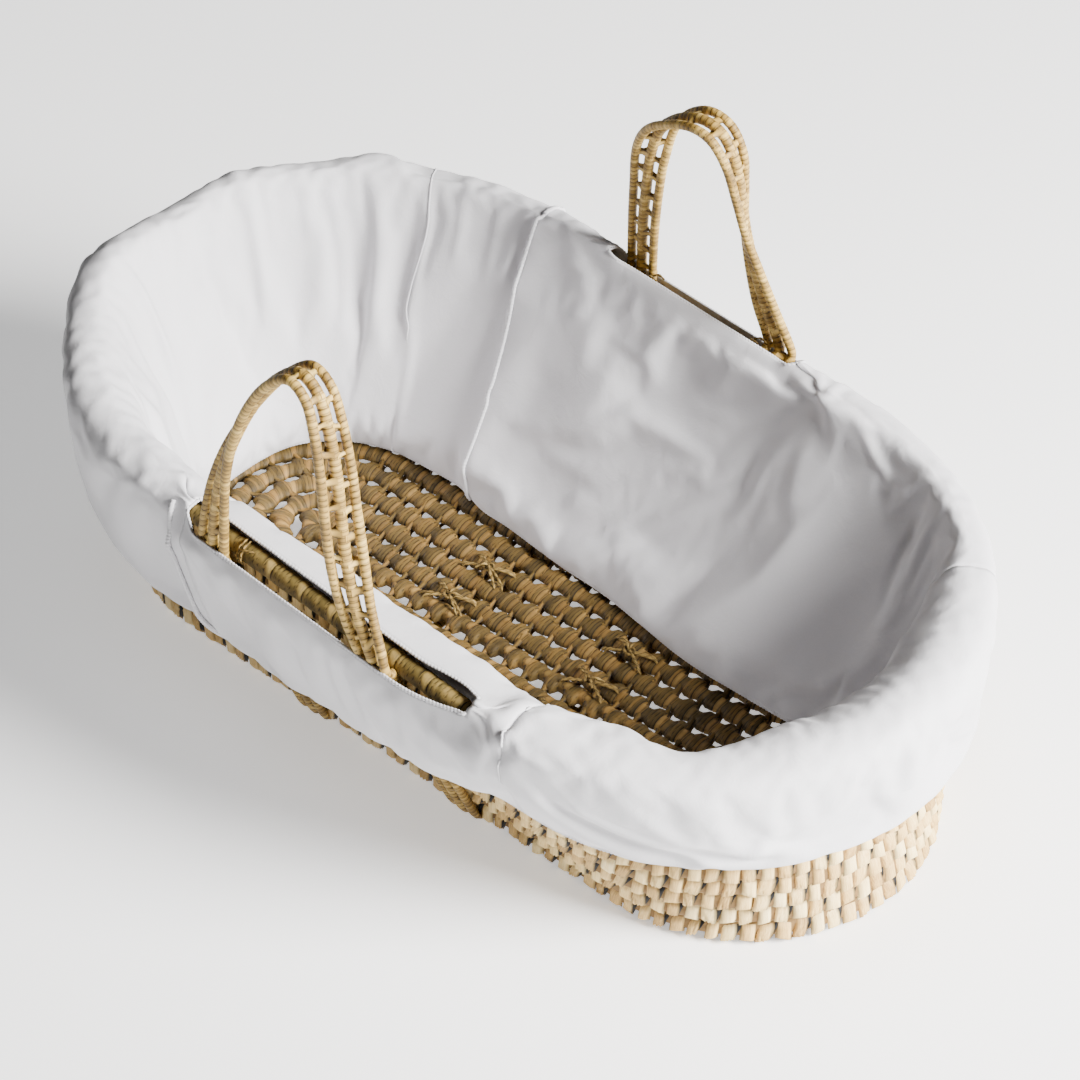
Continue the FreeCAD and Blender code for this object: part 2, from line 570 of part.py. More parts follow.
hem = ("Sizes.hem_height", None, HEM_STRAIGHT, f"({HEM_RADIUS} + Sizes.cloth_thickness)")
skirt_high = ("Sizes.rim_height", RIM_TILT, RIM_STRAIGHT, f"({SKIRT_RADIUS} + Sizes.cloth_thickness)")
flap_high = (FLAP_TOP, RIM_TILT, RIM_STRAIGHT, f"({FLAP_RADIUS} + Sizes.cloth_thickness)")
near_slit = (f"-(Sizes.head_leg + {STRAP_HALF} + Sizes.near_slit_head)",
             f"(Sizes.near_foot_leg + {STRAP_HALF} + Sizes.near_slit_foot)")
far_slit = (f"-(Sizes.head_leg + {STRAP_HALF} + Sizes.far_slit_head)",
            f"(Sizes.far_foot_leg + {STRAP_HALF} + Sizes.far_slit_foot)")
head_end_corners = (
    (HEAD_REACH, f"-{FAR_OUT}"), (f"{near_slit[0]} - {SEAM}", f"-{FAR_OUT}"),
    (f"{near_slit[0]} - {SEAM}", "0"), (f"{far_slit[0]} - {SEAM}", "0"),
    (f"{far_slit[0]} - {SEAM}", FAR_OUT), (HEAD_REACH, FAR_OUT),
)
foot_end_corners = (
    (FOOT_REACH, FAR_OUT), (f"{far_slit[1]} + {SEAM}", FAR_OUT),
    (f"{far_slit[1]} + {SEAM}", "0"), (f"{near_slit[1]} + {SEAM}", "0"),
    (f"{near_slit[1]} + {SEAM}", f"-{FAR_OUT}"), (FOOT_REACH, f"-{FAR_OUT}"),
)
make_cloth_shell("skirt_head", hem, skirt_high, head_end_corners)
make_cloth_shell("skirt_foot", hem, skirt_high, foot_end_corners)
make_cloth_shell("skirt_near_flap", hem, flap_high,
                 box_corners(*near_slit, f"-{FAR_OUT}", "0"))
make_cloth_shell("skirt_far_flap", hem, flap_high,
                 box_corners(*far_slit, "0", FAR_OUT))


def make_roll(label, corners):
    """The padded roll where the liner turns over the rim coil."""
    body = new_body(label)
    turned(body, "Sizes.rim_height + Sizes.rim_coil_size / 2 + Sizes.cloth_gap", RIM_TILT)
    sketch = new_sketch(body, "outline")
    draw_racetrack(sketch, RIM_STRAIGHT, f"{RIM_RADIUS} + Sizes.roll_width / 2", "outer")
    draw_racetrack(sketch, RIM_STRAIGHT, f"{RIM_RADIUS} - Sizes.roll_width / 2", "inner")
    pad(body, sketch, "Sizes.roll_height")
    doc.recompute()
    keep_inside(body, corners)


make_roll("rim_roll_head", head_end_corners)
make_roll("rim_roll_foot", foot_end_corners)


# ---- Check every piece, then write one file for each ----

doc.recompute()
faults = [item.Label for item in doc.Objects if "Invalid" in item.State or "Error" in item.State]
for node in nodes:
    shape = node.Shape
    if shape.isNull() or not shape.isValid() or not shape.Solids:
        faults.append(node.Label)
if faults:
    raise RuntimeError("pieces that failed: " + ", ".join(faults))
for node in nodes:
    node.Shape.exportStep(f"parts/{node.Label}.step")
print(len(nodes), "pieces written")
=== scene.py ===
import json
import math
import random

import bmesh
import bpy
from mathutils import Matrix, Vector, noise


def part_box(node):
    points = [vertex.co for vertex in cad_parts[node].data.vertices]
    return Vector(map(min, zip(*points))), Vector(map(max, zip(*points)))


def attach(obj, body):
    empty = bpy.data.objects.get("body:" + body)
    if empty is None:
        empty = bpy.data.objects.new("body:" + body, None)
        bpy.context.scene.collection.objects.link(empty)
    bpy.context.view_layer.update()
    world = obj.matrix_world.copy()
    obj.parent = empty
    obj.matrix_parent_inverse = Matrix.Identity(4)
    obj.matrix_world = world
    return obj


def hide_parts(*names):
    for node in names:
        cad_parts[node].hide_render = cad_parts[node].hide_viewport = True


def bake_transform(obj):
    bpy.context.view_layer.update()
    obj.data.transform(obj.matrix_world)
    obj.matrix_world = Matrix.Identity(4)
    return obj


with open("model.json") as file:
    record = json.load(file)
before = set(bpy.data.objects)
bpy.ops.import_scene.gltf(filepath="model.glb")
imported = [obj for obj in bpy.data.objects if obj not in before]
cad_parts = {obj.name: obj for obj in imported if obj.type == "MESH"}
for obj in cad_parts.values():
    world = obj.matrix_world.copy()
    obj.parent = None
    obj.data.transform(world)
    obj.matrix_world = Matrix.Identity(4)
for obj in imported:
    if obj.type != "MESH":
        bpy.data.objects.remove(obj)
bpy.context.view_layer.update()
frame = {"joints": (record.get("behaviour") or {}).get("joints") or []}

mm = 0.001
BASKET = "basket"

# ---------------------------------------------------------------------------
# Floor rows. Strips of dried palm leaf are wound round a bundle of leaf ribs, and
# the rows are laid side by side from a doubled middle row outwards. Every few turns
# the strip takes a stitch round the row before, which leaves a small hole beside it.


class Oval:
    """A racetrack outline. Its plane falls by fall for each unit along X; the height is at X = 0."""

    def __init__(self, straight, radius, height, fall=0.0):
        self.straight = straight
        self.radius = radius
        self.height = height
        self.fall = fall
        self.length = 4 * straight + 2 * math.pi * radius

    def spot(self, distance, out=0.0, up=0.0):
        """A point, the way along and the way out, measured from the middle of the near side to the foot."""
        distance = distance % self.length
        arc = math.pi * self.radius
        if distance < self.straight or distance > self.length - self.straight:
            along = distance if distance < self.straight else distance - self.length
            centre, angle = Vector((along, 0, 0)), -math.pi / 2
        elif distance < self.straight + arc:
            centre = Vector((self.straight, 0, 0))
            angle = -math.pi / 2 + (distance - self.straight) / self.radius
        elif distance < 3 * self.straight + arc:
            centre, angle = Vector((2 * self.straight + arc - distance, 0, 0)), math.pi / 2
        else:
            centre = Vector((-self.straight, 0, 0))
            angle = math.pi / 2 + (distance - 3 * self.straight - arc) / self.radius
        outward = Vector((math.cos(angle), math.sin(angle), 0))
        point = centre + outward * (self.radius + out)
        point.z = self.height - self.fall * point.x + up
        return point, Vector((-outward.y, outward.x, 0)), outward


def grid_of(columns, rows, place, closed_along=False, closed_round=False):
    """A bmesh grid whose points go where place(a, b) puts them; place also gives the leaf attribute."""
    bm = bmesh.new()
    lay = bm.verts.layers.float_color.new("lay")
    bmesh.ops.create_grid(bm, x_segments=columns, y_segments=rows, size=0.5)
    for vert in bm.verts:
        vert.co, vert[lay] = place(vert.co.x + 0.5, vert.co.y + 0.5)
    if closed_along or closed_round:
        bmesh.ops.remove_doubles(bm, verts=bm.verts, dist=0.02 * mm)
    return bm


def add_patch(bm, columns, rows, place):
    """One small leaf patch added to a bmesh; place(a, b) gives each point and its leaf attribute."""
    lay = bm.verts.layers.float_color["lay"]
    made = bmesh.ops.create_grid(bm, x_segments=columns, y_segments=rows, size=0.5)
    for vert in made["verts"]:
        vert.co, vert[lay] = place(vert.co.x + 0.5, vert.co.y + 0.5)


def new_piece(name, bm, material, body=BASKET, outward=True):
    """A finished bmesh as an object that rides on a body."""
    if outward:
        bmesh.ops.recalc_face_normals(bm, faces=bm.faces)
    mesh = bpy.data.meshes.new(name)
    bm.to_mesh(mesh)
    bm.free()
    for face in mesh.polygons:
        face.use_smooth = True
    mesh.materials.append(material)
    piece = bpy.data.objects.new(name, mesh)
    bpy.context.collection.objects.link(piece)
    if body:
        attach(piece, body)
    return piece


class Shade:
    """A shader socket that Python arithmetic adds Math nodes to."""

    def __init__(self, tree, socket):
        self.tree = tree
        self.socket = socket

    def join(self, operation, first, second):
        return Nodes(self.tree).make("ShaderNodeMath", {"operation": operation}, {0: first, 1: second})

    def __add__(self, other):
        return self.join("ADD", self, other)

    def __radd__(self, other):
        return self.join("ADD", other, self)

    def __sub__(self, other):
        return self.join("SUBTRACT", self, other)

    def __rsub__(self, other):
        return self.join("SUBTRACT", other, self)

    def __mul__(self, other):
        return self.join("MULTIPLY", self, other)

    def __rmul__(self, other):
        return self.join("MULTIPLY", other, self)


class Nodes:
    """A material's node tree, and one way to add any node to it."""

    def __init__(self, tree):
        self.tree = tree

    def make(self, kind, settings, sockets, output=0):
        """Adds a node: settings first, then values or links for its input sockets."""
        node = self.tree.nodes.new(kind)
        for name, value in settings.items():
            if name == "stops":
                ramp = node.color_ramp
                while len(ramp.elements) < len(value):
                    ramp.elements.new(0.5)
                for element, (place, colour) in zip(ramp.elements, value):
                    element.position = place
                    element.color = (*colour, 1)
            else:
                setattr(node, name, value)
        for name, value in sockets.items():
            if isinstance(value, Shade):
                self.tree.links.new(value.socket, node.inputs[name])
            else:
                node.inputs[name].default_value = value
        return Shade(self.tree, node.outputs[output])


def new_material(name, roughness, sheen=0.0, specular=0.3):
    """A Principled material with its even values set, ready for its patterns."""
    material = bpy.data.materials.new(name)
    material.use_nodes = True
    shader = material.node_tree.nodes["Principled BSDF"]
    shader.inputs["Roughness"].default_value = roughness
    shader.inputs["Specular IOR Level"].default_value = specular
    shader.inputs["Sheen Weight"].default_value = sheen
    return material, Nodes(material.node_tree), shader


def leaf_material(name, stops, roughness=0.62, streak=0.35, bump=0.5, edge_shade_width=3.0, edge_shade_tone=0.06, fibres=26.0):
    """Dried palm leaf, with painted shade darkening each strip towards its edges. The leaf attribute holds a tone for
    each strip, and places along and across it.
    """
    material, nodes, shader = new_material(name, roughness)
    link = material.node_tree.links.new
    attribute = material.node_tree.nodes.new("ShaderNodeAttribute")
    attribute.attribute_name = "lay"
    parts = material.node_tree.nodes.new("ShaderNodeSeparateColor")
    link(attribute.outputs["Color"], parts.inputs["Color"])
    tone = Shade(material.node_tree, parts.outputs["Red"])
    across = Shade(material.node_tree, parts.outputs["Green"])
    along = Shade(material.node_tree, parts.outputs["Blue"])
    where = nodes.make("ShaderNodeTexCoord", {}, {}, "Object")
    cloud = nodes.make("ShaderNodeTexNoise", {}, {"Vector": where, "Scale": 60.0, "Detail": 3.0})
    fibre_place = nodes.make("ShaderNodeCombineXYZ", {}, {"X": across * fibres + tone * 40.0, "Y": along * 2.0, "Z": tone * 90.0})
    fibre = nodes.make("ShaderNodeTexNoise", {}, {"Vector": fibre_place, "Scale": 1.0, "Detail": 4.0, "Roughness": 0.65})
    blend = tone * 0.74 + cloud * 0.3 + fibre * streak - (0.02 + streak * 0.5)
    colour = nodes.make("ShaderNodeValToRGB", {"stops": stops}, {"Fac": blend})
    # Painted shade: the colour darkens towards the edges of each strip, turn and tab, where they meet or lap over one
    # another.
    from_edge = across.join("MINIMUM", across, 1.0 - across)
    edge_shade = nodes.make("ShaderNodeMath", {"operation": "MULTIPLY_ADD", "use_clamp": True}, {0: from_edge, 1: edge_shade_width, 2: edge_shade_tone})
    edge_shade_grey = nodes.make("ShaderNodeCombineXYZ", {}, {"X": edge_shade, "Y": edge_shade, "Z": edge_shade})
    edge_shaded_colour = nodes.make("ShaderNodeMix", {"data_type": "RGBA", "blend_type": "MULTIPLY"}, {0: 1.0, 6: colour, 7: edge_shade_grey}, 2)
    link(edge_shaded_colour.socket, shader.inputs["Base Color"])
    rough = fibre * 0.3 + (roughness - 0.15)
    link(rough.socket, shader.inputs["Roughness"])
    height = fibre * 0.6 + cloud * 0.25
    relief = nodes.make("ShaderNodeBump", {}, {"Height": height, "Strength": bump, "Distance": 0.6 * mm})
    link(relief.socket, shader.inputs["Normal"])
    return material


# The floor's palette is darker than the wall's: partly the leaf's own colour, and partly painted shade for the floor
# deep inside the basket.
floor_leaf = leaf_material("floor palm leaf", (
    (0.0, (0.018, 0.011, 0.003)), (0.25, (0.058, 0.036, 0.008)), (0.5, (0.125, 0.077, 0.018)),
    (0.72, (0.21, 0.115, 0.026)), (1.0, (0.36, 0.225, 0.065)),
))

floor_low, floor_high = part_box("floor_middle_rows")
row_radius = (floor_high[2] - floor_low[2]) / 2
row_height = (floor_high[2] + floor_low[2]) / 2
FLOOR_ROUNDS = 6
base_low, base_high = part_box("wall_course_01")
row_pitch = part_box("floor_round_5")[1][1] / FLOOR_ROUNDS
base_straight = base_high[0] - base_high[1]
STITCH_PITCH = 23 * mm
TURNS = 5


def turn_profile(share):
    """The rounded back of one turn of leaf, with a step down to the turn that it laps over."""
    return min(share / 0.22, 1.0) ** 0.6 * (1.0 - 0.45 * share ** 2)


def leaf_row(oval, radius, stitch_pitch, turns, seed, wide=0.0, hole=0.0, sides=14, steps=4, barrel=1.1 * mm, low=1.0):
    """A wound row: swelling between its stitches, with a ridge for each turn of leaf.
    Its sides stand wide out, and its outer side draws in by hole beside each stitch."""
    rng = random.Random(seed)
    count = round(oval.length / stitch_pitch)
    pitch = oval.length / count
    tones = [[rng.random() for _ in range(turns + 1)] for _ in range(count)]
    swell = [rng.uniform(-0.35, 0.45) * mm for _ in range(count)]
    drift = [rng.uniform(-0.12, 0.12) for _ in range(count)]

    def place(a, b):
        angle = 2 * math.pi * b
        distance = a * oval.length
        stitch = int(a * count + 1e-6) % count
        phase = min(max(a * count - int(a * count + 1e-6), 0.0), 1.0)
        skew = 0.10 * math.sin(angle)
        number = phase * turns + skew * turns * min(phase, 1 - phase) * 4 + drift[stitch] * math.sin(math.pi * phase)
        turn = min(max(int(number), 0), turns - 1)
        ridge = turn_profile(min(max(number - turn, 0.0), 1.0))
        size = radius - barrel * (2 * abs(phase - 0.46)) ** 2.6 + swell[stitch] + 0.75 * mm * (ridge - 1.0)
        last = turn == turns - 1
        if last:
            size += 0.35 * mm
        centre, along, outward = oval.spot(distance)
        side = size + wide
        beside = min(max((phase - 0.36) / 0.12, 0.0), 1.0) * min(max((0.98 - phase) / 0.10, 0.0), 1.0)
        side -= hole * beside * (1.0 if math.cos(angle) > 0 else 0.25)
        tall = size * (low - 0.16 * beside) if math.sin(angle) < 0 else size * (1 - (0.16 if hole else 0) * beside * math.cos(angle) ** 2 * 0.7)
        point = centre + outward * (math.cos(angle) * side) + Vector((0, 0, math.sin(angle) * tall))
        tone = tones[stitch][turn] * 0.55 + (0.5 if last else 0.12) + 0.1 * tones[stitch][turns]
        return point, (min(tone, 1.0), number - turn, b * 3.0, 1.0)

    return grid_of(count * turns * steps, sides, place, True, True)


def add_bridge(bm, oval, distance, gap, radius, rng, width=11 * mm, under=False, tone=0.6):
    """The pinched leaf of one stitch, from a row to the row outside it."""
    lean = rng.uniform(3.0, 6.5) * mm
    pinch = rng.uniform(0.34, 0.5)
    tone = min(max(tone + rng.uniform(-0.25, 0.25), 0.0), 1.0)
    drop = rng.uniform(0.15, 0.34)
    flip = -1 if under else 1

    def place(a, b):
        across = 2 * b - 1
        out = 0.10 * gap + a * 0.76 * gap
        dip = math.sin(math.pi * a) ** 0.8
        up = radius * (1.02 - drop - 0.30 * dip) - abs(across) ** 2 * 0.22 * radius * (1 - 0.4 * a)
        half = width / 2 * (1 - (1 - pinch) * math.sin(math.pi * min(a / 1.5, 1.0)))
        crease = 0.5 * mm * math.cos(across * 7.5)
        point, along, outward = oval.spot(distance + lean * a + across * half, out)
        point.z += flip * (up + crease)
        return point, (tone, b, a, 1.0)

    add_patch(bm, 5, 6, place)


def make_floor():
    rng = random.Random(11)
    for number in range(FLOOR_ROUNDS):
        oval = Oval(base_straight, (number + 0.5) * row_pitch, row_height)
        bm = leaf_row(oval, row_radius - 0.35 * mm, STITCH_PITCH, TURNS, 100 + number, 3.5 * mm, 7.4 * mm, low=0.5)
        count = round(oval.length / STITCH_PITCH)
        if number < FLOOR_ROUNDS - 1:
            for stitch in range(count):
                at = (stitch + 0.0) * oval.length / count
                add_bridge(bm, oval, at, row_pitch, row_radius, rng)
                add_bridge(bm, oval, at, row_pitch, row_radius, rng, under=True)
        if number == 0:
            for stitch in range(round(2 * base_straight / STITCH_PITCH)):
                middle = Oval(base_straight, row_pitch / 2, row_height)
                at = (stitch + 0.5) * STITCH_PITCH - base_straight
                inward = Oval(base_straight, -row_pitch / 2, row_height)
                add_bridge(bm, inward, at, row_pitch, row_radius, rng)
                add_bridge(bm, inward, at, row_pitch, row_radius, rng, under=True)
        name = "floor_middle_rows" if number == 0 else f"floor_round_{number}"
        piece = new_piece(f"woven_{name}", bm, floor_leaf, outward=False)
        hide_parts(name)


make_floor()

# ---------------------------------------------------------------------------
# Wall courses. The wall is the same wound leaf, beaten flat and sewn edge to edge.
# Outside it shows a brick pattern: smooth square tabs of leaf, and between them the
# creased ends of the stitches. The courses lean out and rise towards the head end.

wall_leaf = leaf_material("wall palm leaf", (
    (0.0, (0.12, 0.06, 0.015)), (0.25, (0.36, 0.21, 0.07)), (0.5, (0.66, 0.43, 0.155)),
    (0.75, (0.86, 0.65, 0.30)), (1.0, (0.93, 0.79, 0.45)),
), roughness=0.6, streak=0.75, bump=0.9, edge_shade_width=5.0, edge_shade_tone=0.22, fibres=9.0)
# The leaf behind the tabs is real, but its colour is kept much darker than the tabs' as painted shade in the slits
# between them.
shaded_core_leaf = leaf_material("shaded leaf behind the tabs", (
    (0.0, (0.09, 0.05, 0.016)), (0.5, (0.22, 0.13, 0.045)), (1.0, (0.36, 0.22, 0.08)),
), roughness=0.75, edge_shade_tone=0.8)

COURSES = 10
rim_low, rim_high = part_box("rim_coil")
coil_radius = 9 * mm
rim_radius = rim_high[1] - coil_radius
rim_straight = (rim_high[0] - rim_low[0]) / 2 - rim_high[1]
rim_middle = (rim_high[2] + rim_low[2]) / 2
rim_fall = (rim_high[2] - rim_low[2] - 2 * coil_radius) / (2 * (rim_straight + rim_radius))
wall_half = 6 * mm
wall_foot = base_low[2]
wall_top = rim_middle - coil_radius
base_radius = base_high[1] - wall_half
TAB_PAIR = 28 * mm


def course_oval(share):
    """The middle line of the wall at a share of its height."""
    return Oval(
        base_straight + share * (rim_straight - base_straight),
        base_radius + share * (rim_radius - base_radius),
        wall_foot + share * (wall_top - wall_foot),
        share * rim_fall,
    )


def make_course(number):
    rng = random.Random(300 + number)
    low = course_oval(number / COURSES)
    high = course_oval((number + 1) / COURSES)
    count = round(low.length / TAB_PAIR)

    def between(share, rise, out):
        """A point of the course: share of the way round, rise from its bottom (0) to its top (1)."""
        foot = low.spot(share * low.length, out)[0]
        top = high.spot(share * high.length, out - (high.radius - low.radius) * 0.75)[0]
        return foot.lerp(top, rise)

    def core_place(a, b):
        angle = 2 * math.pi * b
        out = math.cos(angle) * 4.2 * mm
        rise = 0.5 + 0.5 * math.sin(angle)
        squared = max(-1.0, min(1.0, math.cos(angle) * 1.35))
        return between(a, rise, squared * 4.0 * mm - 0.5 * mm), (0.4, b, a * 30, 1.0)

    bm = grid_of(count * 4, 10, core_place, True, True)
    core_faces = len(bm.faces)
    shift = 0.5 * (number % 2) + rng.uniform(-0.1, 0.1)
    for pair in range(count):
        for creased in (False, True):
            tone = rng.random()
            middle = (pair + shift + (0.5 if creased else 0.0)) / count
            half = (0.225 if not creased else 0.25) / count * rng.uniform(0.82, 1.1)
            twist = rng.uniform(-0.22, 0.22)
            proud = rng.uniform(-0.7, 1.0) * mm
            lean = rng.uniform(0.08, 0.32) * (1 if creased else 0.25)
            folds = rng.choice((2.6, 3.4, 4.2))
            bow = rng.uniform(0.4, 1.2) * mm
            foot_drop = rng.uniform(0.0, 0.06) + (0.2 if number == 0 else 0.0)

            def place(a, b):
                across = 2 * a - 1
                tucked = max(abs(across), abs(2 * b - 1)) > 0.99
                rise = 0.03 - foot_drop + 0.95 * b + twist * across * 0.5
                round_at = middle + half * across * (1.0 if not creased else 0.72 + 0.5 * b) + lean / count * (b - 0.5)
                out = 5.6 * mm + proud + bow * (1 - across ** 2) + 1.0 * mm * (0.5 - b)
                if creased:
                    wave = math.sin((across * 1.9 + (b - 0.5) * 1.6) * folds)
                    out += 2.3 * mm * abs(wave) - 1.7 * mm
                if tucked:
                    out = 2.6 * mm
                tint = tone * 0.5 + (0.42 if not creased else 0.3) + 0.06 * across
                return between(round_at, rise, out), (tint, a if not creased else a + b * 0.35, b, 1.0)

            add_patch(bm, 5 if not creased else 10, 5, place)
    # The core faces take the darker leaf: painted shade for the slits between the tabs.
    bm.faces.ensure_lookup_table()
    for face in bm.faces[:core_faces]:
        face.material_index = 1
    name = f"wall_course_{number + 1:02d}"
    piece = new_piece(f"woven_{name}", bm, wall_leaf, outward=False)
    piece.data.materials.append(shaded_core_leaf)
    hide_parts(name)


for number in range(COURSES):
    make_course(number)

# ---------------------------------------------------------------------------
# Rim coil. A round wound coil finishes the top of the wall and stiffens it.
# It is sewn to the last course, and shows in the liner's handle slits.

rim_leaf = leaf_material("rim palm leaf", (
    (0.0, (0.05, 0.034, 0.009)), (0.4, (0.15, 0.105, 0.028)), (0.75, (0.30, 0.205, 0.062)),
    (1.0, (0.45, 0.32, 0.11)),
), roughness=0.58)
rim_oval = Oval(rim_straight, rim_radius, rim_middle, rim_fall)
rim_coil = new_piece("wound_rim_coil", leaf_row(rim_oval, coil_radius - 0.2 * mm, 34 * mm, 6, 77, barrel=0.5 * mm),
                     rim_leaf, outward=False)
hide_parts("rim_coil")

# ---------------------------------------------------------------------------
# Handle strap. Three leaf-wrapped cords are tied side by side into one long strap,
# which is both handles: it runs down the wall, under the floor and up again.
# Leaf ties join the cords every couple of centimetres and leave small holes.

strap_leaf = leaf_material("strap palm leaf", (
    (0.0, (0.07, 0.040, 0.010)), (0.3, (0.25, 0.150, 0.034)), (0.55, (0.45, 0.285, 0.070)),
    (0.8, (0.62, 0.42, 0.120)), (1.0, (0.78, 0.60, 0.24)),
), roughness=0.5, streak=0.25)

CORD_SPACING = 12.6 * mm
CORD_RADII = {-1: 4.1 * mm, 0: 4.9 * mm, 1: 4.1 * mm}
WRAP_PITCH = 5.2 * mm
TIE_PITCH = 22 * mm


def smooth_route(points, spacing):
    """Evenly spaced places on a smooth curve through points that hold (position, across)."""
    filled = []
    for index in range(len(points) - 1):
        before = points[max(index - 1, 0)]
        start, end = points[index], points[index + 1]
        after = points[min(index + 2, len(points) - 1)]
        for step in range(12):
            t = step / 12
            weights = (-0.5 * t + t * t - 0.5 * t ** 3, 1 - 2.5 * t * t + 1.5 * t ** 3,
                       0.5 * t + 2 * t * t - 1.5 * t ** 3, -0.5 * t * t + 0.5 * t ** 3)
            filled.append(tuple(
                sum((item[part] * weight for item, weight in zip((before, start, end, after), weights)), Vector())
                for part in range(2)
            ))
    filled.append(points[-1])
    lengths = [0.0]
    for first, second in zip(filled, filled[1:]):
        lengths.append(lengths[-1] + (second[0] - first[0]).length)
    count = max(int(lengths[-1] / spacing), 2)
    route = []
    index = 0
    for step in range(count + 1):
        wanted = lengths[-1] * step / count
        while index < len(lengths) - 2 and lengths[index + 1] < wanted:
            index += 1
        share = (wanted - lengths[index]) / max(lengths[index + 1] - lengths[index], 1e-9)
        first, second = filled[index], filled[index + 1]
        route.append((first[0].lerp(second[0], share), first[1].lerp(second[1], share).normalized()))
    return route, lengths[-1]


def strap_mesh(points, seed, squash=None):
    """The three wrapped cords and their ties along a strap's middle line."""
    rng = random.Random(seed)
    route, length = smooth_route(points, WRAP_PITCH / 4)
    count = len(route) - 1
    frames = []
    for index, (centre, across) in enumerate(route):
        run = (route[min(index + 1, count)][0] - route[max(index - 1, 0)][0]).normalized()
        across = (across - run * across.dot(run)).normalized()
        frames.append((centre, across, run.cross(across)))
    strap = bmesh.new()
    strap.verts.layers.float_color.new("lay")
    for cord, radius in CORD_RADII.items():
        wraps = int(length / WRAP_PITCH) + 2
        tones = [rng.random() for _ in range(wraps)]
        wrap_step_shades = [rng.uniform(0.1, 0.75) for _ in range(wraps)]
        wander = rng.uniform(0, 50)

        def place(a, b):
            index = min(int(a * count + 0.5), count)
            centre, across, face = frames[index]
            angle = 2 * math.pi * b
            number = index * (WRAP_PITCH / 4) / WRAP_PITCH + 0.16 * math.sin(angle + cord)
            wrap = min(max(int(number), 0), wraps - 1)
            size = radius * (1 + 0.07 * noise.noise(Vector((index * 0.02, cord * 7.0, wander))))
            size += 0.55 * mm * (turn_profile(min(max(number - wrap, 0.0), 1.0)) - 1.0)
            thin = squash(centre) if squash else 1.0
            sway = 0.8 * mm * noise.noise(Vector((index * 0.012, cord * 3.0, wander + 9)))
            point = centre + across * (cord * CORD_SPACING + sway + math.cos(angle) * size)
            point += face * (math.sin(angle) * size * thin)
            tone = 0.25 + 0.6 * tones[wrap] + 0.25 * noise.noise(Vector((index * 0.01, 4.0, wander)))
            # Painted shade: each wrap is darkened by a random amount where it starts, at the low step where it meets
            # the wrap before.
            if number - wrap < 0.25:
                tone -= wrap_step_shades[wrap]
            return point, (min(max(tone, 0.0), 1.0), number - wrap, b * 2.0, 1.0)

        cord_bm = grid_of(count, 12, place, False, True)
        cord_mesh = bpy.data.meshes.new("cord")
        bmesh.ops.holes_fill(cord_bm, edges=[edge for edge in cord_bm.edges if edge.is_boundary], sides=0)
        bmesh.ops.recalc_face_normals(cord_bm, faces=cord_bm.faces)
        cord_bm.to_mesh(cord_mesh)
        cord_bm.free()
        strap.from_mesh(cord_mesh)
        bpy.data.meshes.remove(cord_mesh)
    stations = int(length / TIE_PITCH)
    for station in range(stations):
        for side in (-1, 1):
            for face_side in (-1, 1):
                at = (station + 0.5 + 0.12 * side + rng.uniform(-0.08, 0.08)) / stations
                tone = rng.uniform(0.3, 0.95)
                width = rng.uniform(6.5, 10.5) * mm
                slant = rng.uniform(-7.0, 7.0) * mm

                def place(a, b):
                    along = at * length + (b - 0.5) * width * (1 - 0.35 * math.sin(math.pi * a)) + slant * (a - 0.5)
                    index = min(max(int(along / length * count), 0), count)
                    centre, across, face = frames[index]
                    reach = (0.1 + 1.02 * a) * CORD_SPACING
                    thin = squash(centre) if squash else 1.0
                    lift = (4.9 - 1.6 * a - 2.4 * math.sin(math.pi * a)) * mm * thin
                    lift -= 0.8 * mm * (2 * b - 1) ** 2
                    return centre + across * (side * reach) + face * (face_side * lift), (tone, b, a, 1.0)

                add_patch(strap, 5, 3, place)
    return strap


# The loops, from the head side leg to the foot side leg: place along the span, share of
# the rise, and the strap's twist in degrees, as the cords are laid out in the frame.
NEAR_LOOP = (
    (-1.00, 0.00, 0), (-0.98, 0.20, 15), (-0.90, 0.40, 40), (-0.74, 0.60, 64), (-0.55, 0.77, 80),
    (-0.33, 0.91, 88), (-0.08, 1.00, 90), (0.14, 0.965, 88), (0.28, 0.85, 82), (0.40, 0.69, 74),
    (0.50, 0.51, 62), (0.61, 0.34, 44), (0.76, 0.17, 20), (1.00, 0.00, 0),
)
FAR_LOOP = (
    (-1.00, 0.00, 0), (-0.97, 0.22, 2), (-0.91, 0.44, 8), (-0.84, 0.64, 26), (-0.69, 0.81, 56),
    (-0.42, 0.93, 80), (-0.10, 1.00, 90), (0.18, 0.985, 88), (0.36, 0.88, 80), (0.44, 0.72, 64),
    (0.51, 0.54, 44), (0.64, 0.36, 24), (0.80, 0.18, 8), (1.00, 0.00, 0),
)
HEAD_LEG = -87 * mm
LEG_FOOT_OUT = 165.7 * mm
LEG_LEAN = 0.366
HANDLES = {
    "near": {"side": -1, "foot_leg": 90 * mm, "rise": 221 * mm, "lean": 4, "loop": NEAR_LOOP},
    "far": {"side": 1, "foot_leg": 69 * mm, "rise": 209 * mm, "lean": 8, "loop": FAR_LOOP},
}
joints = {joint["child"]: joint for joint in frame["joints"]}


